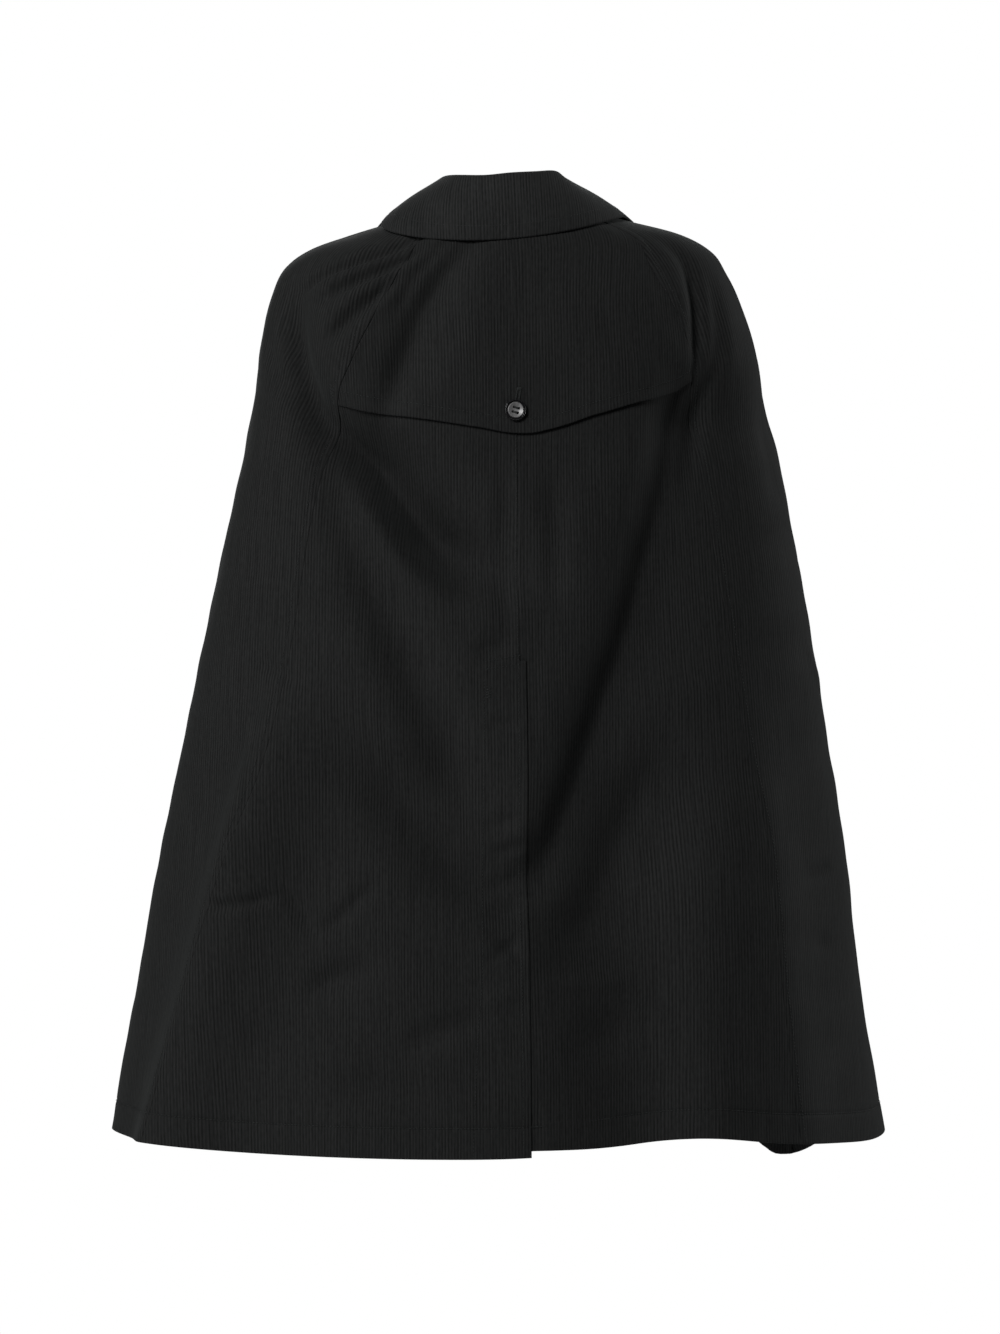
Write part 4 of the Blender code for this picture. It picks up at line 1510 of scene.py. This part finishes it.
@dataclass
class Collar:
    """A stand sewn to the neck and a fall that turns over it and spreads over the shoulders."""

    wardrobe: Wardrobe
    stand_cloth: float = 1.6
    stand_rows: int = 9
    fall_cloth: float = 2.4
    neck_gap: float = 1.4
    lap_gap: float = 0.9
    seam_below_fold: float = 9.0
    fold_radius: float = 3.4
    clearance: float = 5.4
    bow: float = 1.0
    end_at_neck: float = 173.0
    end_at_edge: float = 155.0
    stitch_in: float = 9.5
    groove: float = 0.55
    groove_width: float = 1.2
    edge_radius: float = 1.3
    edge_tilt: float = 0.24
    columns: int = 220
    rise_share: float = 0.12
    fold_share: float = 0.30
    arc_guess: float = 0.8 * math.pi
    arc_rounds: int = 6

    def station(self, turn: Array) -> Array:
        """Stand height, lean and reach at each turn."""
        return np.moveaxis(along_column(COLLAR, np.degrees(turn))[..., 1:], -1, 0)

    def outward(self, turn: Array) -> Array:
        """Level direction away from the neck's axis, square to the neck's ellipse."""
        neck = SECTIONS[0]
        depth = np.where(np.cos(turn) >= 0, neck.back, neck.front)
        return unit(np.stack([np.sin(turn) / neck.left, np.cos(turn) / depth, np.zeros_like(turn)], axis=-1))

    def stand_point(self, turn: Array, climb: Array) -> Array:
        """Outer face of the stand, a share of the way up the line from the neck seam to the fold."""
        stand, lean, _ = self.station(turn)
        start = self.wardrobe.form.smooth(turn, np.zeros_like(turn)) + self.neck_gap * UP
        return start + climb[..., None] * (stand[..., None] * UP - self.outward(turn) * lean[..., None])

    def end_turn(self, spread: Array) -> Array:
        """Turn of the fall's ends, which lie further back towards its edge."""
        return np.radians(self.end_at_neck + (self.end_at_edge - self.end_at_neck) * spread)

    def turns(self, spread: Array) -> Array:
        """Turns of the columns, closer at both ends."""
        ends = 1 - 2 * np.array([0.0, 0.0009, 0.0022, 0.005])
        places = np.concatenate([-ends, np.linspace(-0.982, 0.982, self.columns), ends[::-1]])
        return self.end_turn(spread) * places[None, :]

    def fall_middle(self, turn: Array, along: Array) -> Array:
        """Middle of the fall's cloth: up from the stand's seam, round an arc and straight down to its edge.

        The arc ends where its tangent points at the edge, found by a few rounds of correction.

        Args:
            turn: radians from the centre back.
            along: share of the way from the stand's seam to the edge.

        Returns:
            Points in millimetres.
        """
        form = self.wardrobe.form
        stand, _, reach = self.station(turn)
        out = self.outward(turn)
        below = 1 - (self.seam_below_fold - self.lap_gap) / stand
        foot = self.stand_point(turn, below) - out * self.stand_cloth / 2
        crest = self.stand_point(turn, np.ones_like(turn)) - out * self.stand_cloth / 2
        edge = form.folded(turn, reach) + normals_of(form.folded, turn, reach) * self.clearance
        final = np.full_like(turn, self.arc_guess)
        for _ in range(self.arc_rounds):
            away = edge - self.arc_point(crest, out, final)
            final = math.pi - np.arctan2((away * out).sum(-1), -away[..., 2])
        over = self.arc_point(crest, out, final)
        rising = foot + (crest - foot) * np.clip(along / self.rise_share, 0, 1)[..., None]
        share = np.clip((along - self.rise_share) / (self.fold_share - self.rise_share), 0, 1)
        turning = self.arc_point(crest, out, final * share)
        drop = self.spread(along)[..., None]
        falling = over + (edge - over) * drop + (out + UP) * self.bow * np.square(np.sin(math.pi * drop))
        middle = np.where((along < self.rise_share)[..., None], rising, turning)
        return np.where((along > self.fold_share)[..., None], falling, middle)

    def spread(self, along: Array) -> Array:
        """Share of the way from the end of the fold's arc to the edge."""
        return np.clip((along - self.fold_share) / (1 - self.fold_share), 0, 1)

    def arc_point(self, crest: Array, out: Array, swing: Array) -> Array:
        """A point of the fold's arc, a swing away from the crest: out by r (1 - cos), up by r sin."""
        swing = swing[..., None]
        return crest + self.fold_radius * (out * (1 - np.cos(swing)) + UP * np.sin(swing))

    def build(self) -> None:
        self.build_stand()
        self.build_fall()

    def build_stand(self) -> None:
        """The stand: straight walls up from the neck seam to the seam under the fold."""
        row = self.turns(np.zeros((1, 1)))
        stand = self.station(row)[0]
        climb = np.linspace(1, 0, self.stand_rows)[:, None] * (1 - self.seam_below_fold / stand)
        turns = np.broadcast_to(row, climb.shape)
        outer = self.stand_point(turns, climb)
        inner = outer - self.outward(turns) * self.stand_cloth
        grain = np.stack([running_length(outer, 1), running_length(outer, 0)], -1)
        wall = ClothWall("collar_stand_cloth", outer, inner, grain)
        self.wardrobe.hang(wall, "collar_stand", "stretched", ["back_left", "back_right"])

    def build_fall(self) -> None:
        """The fall: one cloth over the fold, with a groove inside its turned and stitched edge."""
        steps = (
            np.linspace(0, self.rise_share, 4)[:-1],
            np.linspace(self.rise_share, self.fold_share, 15)[:-1],
            np.linspace(self.fold_share, 0.98, 34),
            [0.985, 0.990, 0.994, 0.998, 1.0],
        )
        along = np.concatenate(steps)[:, None]
        turns = self.turns(self.spread(along))
        middle = self.fall_middle(turns, np.broadcast_to(along, turns.shape))
        out = grid_normals(middle)
        down, across, from_edge, border = borders_of(middle)
        groove = self.groove * bell((border - self.stitch_in) / self.groove_width)
        middle = middle - out * (self.edge_tilt * np.clip(self.stitch_in - from_edge, 0, None))[..., None]
        half = out * (edge_pinch(border, self.edge_radius) * self.fall_cloth / 2)[..., None]
        grain = np.stack([across - across[:, across.shape[1] // 2][:, None], down], -1)
        outer = middle + half - out * groove[..., None]
        wall = ClothWall("collar_fall_cloth", outer, middle - half, grain)
        self.wardrobe.hang(wall, "collar_fall", "folded", ["collar_stand"])


@dataclass
class HornButton:
    """The four-hole button that closes the storm flap, with a raised rim round a dished middle."""

    wardrobe: Wardrobe
    flap: StormFlap
    height: float = -196.0
    turn: float = math.radians(-16)
    rings: int = 57
    steps: int = 96
    merge: float = 0.03
    dish_radius: float = 7.8
    dish_fade: float = 0.5
    hole_radius: float = 1.3
    hole_offset: float = 2.2
    hole_steps: int = 24
    hole_reach: tuple[float, float] = (-2.0, 5.4)
    sharp_from: float = math.radians(40)
    thread_height: float = 1.9
    thread_over: float = 0.3
    thread_radius: float = 0.34
    strands: tuple[float, ...] = (-0.5, 0.0, 0.5)

    def place(self) -> tuple[Array, Array]:
        """Axes and seat of the button: across, up and out of the flap, and a point on its face."""
        share = self.flap.share_at(self.height)
        point, out = self.flap.outside(np.array([self.flap.centre_place()]), np.array([share]))
        level = unit(np.cross(UP, out[0]))
        across = level * math.cos(self.turn) + np.cross(out[0], level) * math.sin(self.turn)
        axes = np.stack([across, np.cross(out[0], across), out[0]])
        return axes, point[0] + out[0] * self.flap.lap_gap

    def build(self) -> None:
        """Turns the profile, cuts the holes, and winds the thread through them."""
        axes, seat = self.place()
        button = self.turned(axes, seat)
        self.pierce(button, axes, seat)
        self.mark_dish(button, axes, seat)
        self.wardrobe.settle(button, self.wardrobe.horn, Slot.BUTTON, "button")
        self.wind(axes, seat)

    def turned(self, axes: Array, seat: Array) -> bpy.types.Object:
        """The button's body: a smooth profile carried round the axis, closed at both ends."""
        profile = along_rows(BUTTON_PROFILE, np.linspace(0, len(BUTTON_PROFILE) - 1, self.rings))
        around = profile[:, None, :1] * circle(self.steps)[None, :, :]
        height = np.broadcast_to(profile[:, None, 1:], around.shape[:2] + (1,))
        points = seat + np.concatenate([around, height], -1) @ axes
        piece = new_piece("button_horn", points.reshape(-1, 3), ring_faces(self.rings, self.steps))
        piece.modifiers.new("poles", "WELD").merge_threshold = self.merge * MM
        self.apply(piece)
        return piece

    def apply(self, piece: bpy.types.Object) -> None:
        """Replaces a piece's mesh by what its modifiers make of it."""
        graph = bpy.context.evaluated_depsgraph_get()
        mesh = bpy.data.meshes.new_from_object(piece.evaluated_get(graph))
        piece.modifiers.clear()
        piece.data = mesh

    def pierce(self, button: bpy.types.Object, axes: Array, seat: Array) -> None:
        """Cuts four round holes through the button with one joined cutter.

        Args:
            button: the turned body.
            axes: the button's axes.
            seat: the middle of its underside.
        """
        steps = self.hole_steps
        offset = self.hole_offset * np.array([(1, 1), (-1, 1), (-1, -1), (1, -1)])
        level = offset[:, None, None, :] + self.hole_radius * circle(steps)[None, None, :, :]
        height = np.array(self.hole_reach)[None, :, None, None]
        local = np.concatenate(np.broadcast_arrays(level[..., :1], level[..., 1:], height), -1)
        points = (seat + local @ axes).reshape(-1, 3)
        faces = []
        for first in range(0, len(points), 2 * steps):
            low, high = range(first, first + steps), range(first + steps, first + 2 * steps)
            sides = zip(low, [*low[1:], low[0]], [*high[1:], high[0]], high)
            faces += [*map(list, sides), list(low)[::-1], list(high)]
        mesh = bpy.data.meshes.new("button_hole_cutter")
        mesh.from_pydata((points * MM).tolist(), [], faces)
        cutter = linked("button_hole_cutter", mesh)
        cut = button.modifiers.new("holes", "BOOLEAN")
        cut.operation, cut.solver, cut.object = "DIFFERENCE", "EXACT", cutter
        self.apply(button)
        bpy.data.objects.remove(cutter)
        button.data.set_sharp_from_angle(angle=self.sharp_from)

    def mark_dish(self, button: bpy.types.Object, axes: Array, seat: Array) -> None:
        """Writes for the finish how far each point is inside the rim, from 0 to 1; there the finish paints
        the dish grey as reflection.
        """
        points = np.empty(len(button.data.vertices) * 3, np.float32)
        button.data.vertices.foreach_get("co", points)
        local = (points.reshape(-1, 3) / MM - seat) @ axes.T
        reach = np.hypot(local[:, 0], local[:, 1])
        dished = ease((self.dish_radius - reach) / self.dish_fade).astype(np.float32)
        button.data.attributes.new(DISHED, "FLOAT", "POINT").data.foreach_set("value", dished)

    def wind(self, axes: Array, seat: Array) -> None:
        """Thread bridges between the holes of each pair, with strands side by side."""
        reach = self.hole_offset + self.thread_over
        rows = [side * self.hole_offset + strand for side in (-1, 1) for strand in self.strands]
        starts = seat + np.array([(-reach, y, self.thread_height) for y in rows]) @ axes
        ends = seat + np.array([(reach, y, self.thread_height) for y in rows]) @ axes
        out = np.broadcast_to(axes[2], starts.shape)
        piece = stitch_piece("button_thread", starts, ends, out, self.thread_radius)
        self.wardrobe.settle(piece, self.wardrobe.thread, Slot.GABARDINE)


def stitch_piece(name: str, starts: Array, ends: Array, out: Array, radius: float) -> bpy.types.Object:
    """Joined stitches: short round threads whose two ends dip into the cloth.

    Along each stitch the ring's radius swells as a rounded bar and its centre rises as a low arch.

    Args:
        name: the piece's name.
        starts: first end of each stitch.
        ends: second end of each stitch.
        out: outward direction at each stitch.
        radius: the thread's radius.

    Returns:
        The joined piece.
    """
    share = np.array([0.0, 0.12, 0.5, 0.88, 1.0])
    swell = np.array([0.35, 0.9, 1.0, 0.9, 0.35])
    rise = np.array([-0.9, 0.1, 0.45, 0.1, -0.9]) * radius
    sides = 6
    aside = unit(np.cross(out, unit(ends - starts)))
    walk = (ends - starts)[:, None, :]
    centre = starts[:, None, :] + walk * share[:, None] + out[:, None, :] * rise[:, None]
    cosine, sine = circle(sides).T[..., None]
    ring = cosine * aside[:, None, :] + sine * out[:, None, :]
    points = centre[:, :, None, :] + radius * swell[None, :, None, None] * ring[:, None, :, :]
    first, last = np.arange(sides), np.arange(sides) + (len(share) - 1) * sides
    caps = np.array([first[:4], first[[3, 4, 5, 0]], last[[3, 2, 1, 0]], last[[0, 5, 4, 3]]])
    one = np.concatenate([ring_faces(len(share), sides)[:, [0, 3, 2, 1]], caps])
    faces = one[None] + (np.arange(len(starts)) * len(share) * sides)[:, None, None]
    return new_piece(name, points.reshape(-1, 3), faces.reshape(-1, 4))


class Run(NamedTuple):
    """A walk over the cloth: points and outward directions."""

    points: Array
    out: Array

    def at(self, walk: Array) -> "Run":
        """The walk at lengths from its start."""
        length = running_length(self.points, 0)
        points, out = (np.stack([np.interp(walk, length, c) for c in v.T], -1) for v in self)
        return Run(points, unit(out))


@dataclass
class Sewing:
    """Topstitching, hem stitches, bar tacks and the buttonhole, joined by seam."""

    wardrobe: Wardrobe
    flap: StormFlap
    collar: Collar
    pitch: float = 3.3
    filled: float = 0.74
    radius: float = 0.27
    body_rise: float = 0.15
    flap_rise: float = 0.1
    collar_sunk: float = 0.2
    raglan_in: float = 6.6
    raglan_start: float = 0.9
    hem_short: float = 0.03
    hem_ends: float = 0.18
    centre_in: float = 1.6
    under_flap: float = 0.2
    flap_share: float = 0.962
    collar_share: float = 0.86
    collar_step: float = 0.01
    front_in: float = 23.0
    hole_top: float = -175.0
    hole_bottom: float = -197.0
    hole_stitches: int = 30
    hole_inside: float = 0.75
    hole_outside: float = 2.3
    hole_bar: float = 2.6
    hole_bar_stitches: int = 3
    hole_thick: float = 1.9
    flap_ends: float = 0.004
    collar_ends: float = 0.965
    front_start: float = 1.0
    raglan_steps: int = 700
    hem_steps: int = 1400
    back_steps: int = 500
    line_steps: int = 30
    underlap_steps: int = 240
    flap_steps: int = 400
    collar_steps: int = 500
    front_steps: int = 600

    def body_run(self, turn: Array, section: Array) -> Run:
        """A walk over the outer face of the panels."""
        form = self.wardrobe.form
        turn, section = together(turn, section)
        out = normals_of(form.creased, turn, section)
        return Run(form.creased(turn, section) + out * self.body_rise, out)

    def height_run(self, turn: Array, height: Array) -> Run:
        """A walk over the panels by turns in degrees and heights."""
        turn, height = together(np.radians(turn), height)
        return self.body_run(turn, self.wardrobe.form.section_at(turn, height))

    def flap_run(self, place: Array, share: Array | float) -> Run:
        """A walk over the outer face of the storm flap."""
        points, out = self.flap.outside(*together(place, share))
        return Run(points + out * self.flap_rise, out)

    def collar_run(self, place: Array, along: Array) -> Run:
        """A walk over the outer face of the fall, by share across and share along."""
        collar = self.collar
        turn = collar.end_turn(collar.spread(along)) * place
        out = normals_of(collar.fall_middle, turn, along, self.collar_step)
        return Run(collar.fall_middle(turn, along) + out * (collar.fall_cloth / 2 - self.collar_sunk), out)

    def stitches(self, run: Run) -> Stitches:
        """Starts, ends and outward directions of even stitches along a walk."""
        length = running_length(run.points, 0)[-1]
        count = max(int(length / self.pitch), 1)
        begin = (np.arange(count) + 0.5 * (1 - self.filled)) * length / count
        start = run.at(begin)
        return start.points, run.at(begin + self.filled * length / count).points, start.out

    def tack(self, bar: BarTack) -> Stitches:
        """Starts, ends and outward directions of a bar tack's zigzag."""
        run = self.height_run(bar.turn, np.linspace(bar.top, bar.bottom, bar.steps))
        run = run.at(np.linspace(0, running_length(run.points, 0)[-1], bar.strokes + 1))
        aside = unit(np.cross(run.out, np.gradient(run.points, axis=0)))
        sides = np.where(np.arange(bar.strokes + 1) % 2, 1, -1)
        corners = run.points + aside * (bar.width / 2 * sides)[:, None]
        return corners[:-1], corners[1:], run.out[:-1]

    def join(self, name: str, parts: Sequence[Stitches], thick: float = 1.0) -> None:
        """One piece from several sets of stitches."""
        starts, ends, out = (np.concatenate(p) for p in zip(*parts))
        piece = stitch_piece(name, starts, ends, out, self.radius * thick)
        self.wardrobe.settle(piece, self.wardrobe.thread, Slot.GABARDINE)

    def build(self) -> None:
        """Sews every seam."""
        self.raglan()
        self.hem()
        self.centre_back()
        self.flap_edge()
        self.collar_edge()
        self.front_edge()
        self.buttonhole()

    def raglan(self) -> None:
        """Topstitching beside the four raglan seams, on the shoulder panels."""
        section = np.linspace(self.raglan_start, HEM - self.hem_short, self.raglan_steps)
        rows = []
        for name, sign in (("back_left", 1), ("back_right", -1), ("front_left", -1), ("front_right", 1)):
            turn = self.wardrobe.form.seam(name, section, sign * self.raglan_in)
            rows.append(self.stitches(self.body_run(turn, section)))
        self.join("raglan_topstitching", rows)

    def hem(self) -> None:
        """The stitch line of the turned-up hem, all round."""
        form = self.wardrobe.form
        steps, length = form.side_walk()
        section = float(np.interp(length[-1] - form.hem_depth, length, steps))
        turn = np.linspace(-math.pi + self.hem_ends, math.pi - self.hem_ends, self.hem_steps)
        self.join("hem_stitching", [self.stitches(self.body_run(turn, section))])

    def centre_back(self) -> None:
        """Stitches down the centre back and the vent's lap, across its top, and along the underlap."""
        start = float(self.flap.edge_section(CENTRE_BACK)[0]) - self.under_flap
        section = np.linspace(start, HEM - self.hem_short, self.back_steps)
        turn = self.wardrobe.form.to_turn(self.centre_in, section, 0.0)
        runs = [self.body_run(turn, section)]
        for line in VENT_TOP_LINES:
            turn = np.linspace(line.turn_start, line.turn_end, self.line_steps)
            height = np.linspace(line.height_start, line.height_end, self.line_steps)
            runs.append(self.height_run(turn, height))
        depths, turns = zip(*UNDERLAP_LINE)
        depth = np.linspace(depths[0], depths[-1], self.underlap_steps)
        runs.append(self.height_run(np.interp(depth, depths, turns), -depth))
        self.join("centre_back_stitching", [*map(self.stitches, runs), self.tack(VENT_TACK)])

    def flap_edge(self) -> None:
        """Topstitching along the flap's lower edge, with a bar tack at its left corner."""
        place = np.linspace(self.flap_ends, 1 - self.flap_ends, self.flap_steps)
        run = self.flap_run(place, self.flap_share)
        self.join("storm_flap_stitching", [self.stitches(run), self.tack(FLAP_TACK)])

    def collar_edge(self) -> None:
        """Topstitching round the collar's fall, inside its edge."""
        place = np.linspace(-self.collar_ends, self.collar_ends, self.collar_steps)
        run = self.collar_run(place, np.full_like(place, self.collar_share))
        self.join("collar_stitching", [self.stitches(run)])

    def front_edge(self) -> None:
        """Topstitching inside the free edge of the outer front."""
        section = np.linspace(self.front_start, HEM - self.hem_short, self.front_steps)
        turn = math.pi - self.wardrobe.form.to_turn(self.front_in, section, math.pi)
        self.join("front_edge_stitching", [self.stitches(self.body_run(turn, section))])

    def buttonhole(self) -> None:
        """The upright buttonhole: close stitches square to a slit, down to the button, under a bar."""
        heights = np.linspace(self.hole_top, self.hole_bottom, self.hole_stitches)
        share = np.array([self.flap.share_at(h) for h in heights])
        points, out = self.flap_run(self.flap.centre_place(), share)
        aside = unit(np.cross(out, UP))
        rows = [
            (points + aside * side * self.hole_inside, points + aside * side * self.hole_outside, out)
            for side in (-1.0, 1.0)
        ]
        top = slice(self.hole_bar_stitches)
        over = aside[top] * self.hole_bar
        rows.append((points[top] - over, points[top] + over, out[top]))
        self.join("buttonhole_stitching", rows, self.hole_thick)


@dataclass
class Studio:
    """Pale floor, soft lights, white surround and the camera behind the cape."""

    distance: float = 4.0
    swing: float = math.radians(5.5)
    level: float = -0.432
    aside: float = 0.00475
    lens: float = 113.62
    sensor: float = 36.0
    lamp_distance: float = 3.6
    floor_level: float = -1.45
    floor_start: float = 0.0002
    floor_reach: float = 1.3
    floor_rings: int = 12
    floor_steps: int = 96
    even_light: float = 0.05
    even_tint: Colour = (0.95, 0.98, 1.0, 1.0)

    def build(self) -> None:
        """Sets up everything round the cape."""
        self.floor()
        self.surround()
        for lamp in LAMPS:
            self.hang(lamp)
        self.camera()
        bpy.context.scene.view_settings.view_transform = "Standard"

    def floor(self) -> None:
        """A round pale floor: rings of points at a level."""
        reach = np.linspace(self.floor_start, self.floor_reach, self.floor_rings) / MM
        level = reach[:, None, None] * circle(self.floor_steps)
        points = np.insert(level, 2, self.floor_level / MM, axis=-1)
        faces = ring_faces(self.floor_rings, self.floor_steps)[:, [0, 3, 2, 1]]
        floor = new_piece("studio_floor", points.reshape(-1, 3), faces)
        floor.data.materials.append(PalePaper().material())

    def surround(self) -> None:
        """White as seen, and a weak even light on the cape."""
        world = bpy.data.worlds.new("studio_surround")
        world.use_nodes = True
        tree = world.node_tree
        tree.nodes.clear()
        seen, light = tree.nodes.new("ShaderNodeBackground"), tree.nodes.new("ShaderNodeBackground")
        seen.inputs["Color"].default_value = (1.0, 1.0, 1.0, 1.0)
        light.inputs["Color"].default_value = self.even_tint
        light.inputs["Strength"].default_value = self.even_light
        path, mix = tree.nodes.new("ShaderNodeLightPath"), tree.nodes.new("ShaderNodeMixShader")
        output = tree.nodes.new("ShaderNodeOutputWorld")
        tree.links.new(path.outputs["Is Camera Ray"], mix.inputs[0])
        tree.links.new(light.outputs[0], mix.inputs[1])
        tree.links.new(seen.outputs[0], mix.inputs[2])
        tree.links.new(mix.outputs[0], output.inputs[0])
        bpy.context.scene.world = world

    def hang(self, row: Lamp) -> None:
        """Hangs a square soft light, swung from the camera to the picture's left, aimed at the cape."""
        data = bpy.data.lights.new(row.name, "AREA")
        data.size, data.energy = row.size, row.power
        turned, rise = math.pi / 2 - self.swing - math.radians(row.swing), math.radians(row.rise)
        away = Vector((math.cos(rise) * math.cos(turned), math.cos(rise) * math.sin(turned), math.sin(rise)))
        place = away * self.lamp_distance + Vector((0.0, 0.0, self.level))
        self.aim(linked(row.name, data), place, -away)

    def camera(self) -> None:
        """A level camera behind the cape, turned a little to the wearer's left."""
        data = bpy.data.cameras.new("camera")
        data.lens, data.sensor_width, data.sensor_fit = self.lens, self.sensor, "AUTO"
        data.clip_start, data.clip_end = 0.05, 60.0
        ahead = Vector((-math.sin(self.swing), -math.cos(self.swing), 0.0))
        right = Vector((-math.cos(self.swing), math.sin(self.swing), 0.0))
        camera = linked("camera", data)
        self.aim(camera, -ahead * self.distance - right * self.aside + Vector((0.0, 0.0, self.level)), ahead)
        bpy.context.scene.camera = camera

    def aim(self, item: bpy.types.Object, place: Vector, ahead: Vector) -> None:
        """Puts a light or camera at a place and turns it to look ahead."""
        item.matrix_world = Matrix.Translation(place) @ ahead.to_track_quat("-Z", "Y").to_matrix().to_4x4()


def write_sizes() -> None:
    """Brings the view layer up to date."""
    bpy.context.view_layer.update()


def main() -> None:
    """Loads the frame and builds every piece of the cape and its studio."""
    logging.basicConfig(level=logging.INFO, format="%(name)s: %(message)s")
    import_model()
    wardrobe = Wardrobe()
    flap = StormFlap(wardrobe)
    collar = Collar(wardrobe)
    assemblies = (
        BodyPanels(wardrobe),
        flap,
        collar,
        HornButton(wardrobe, flap),
        Sewing(wardrobe, flap, collar),
        Studio(),
    )
    for assembly in assemblies:
        assembly.build()
    write_sizes()


if __name__ == "__main__":
    main()
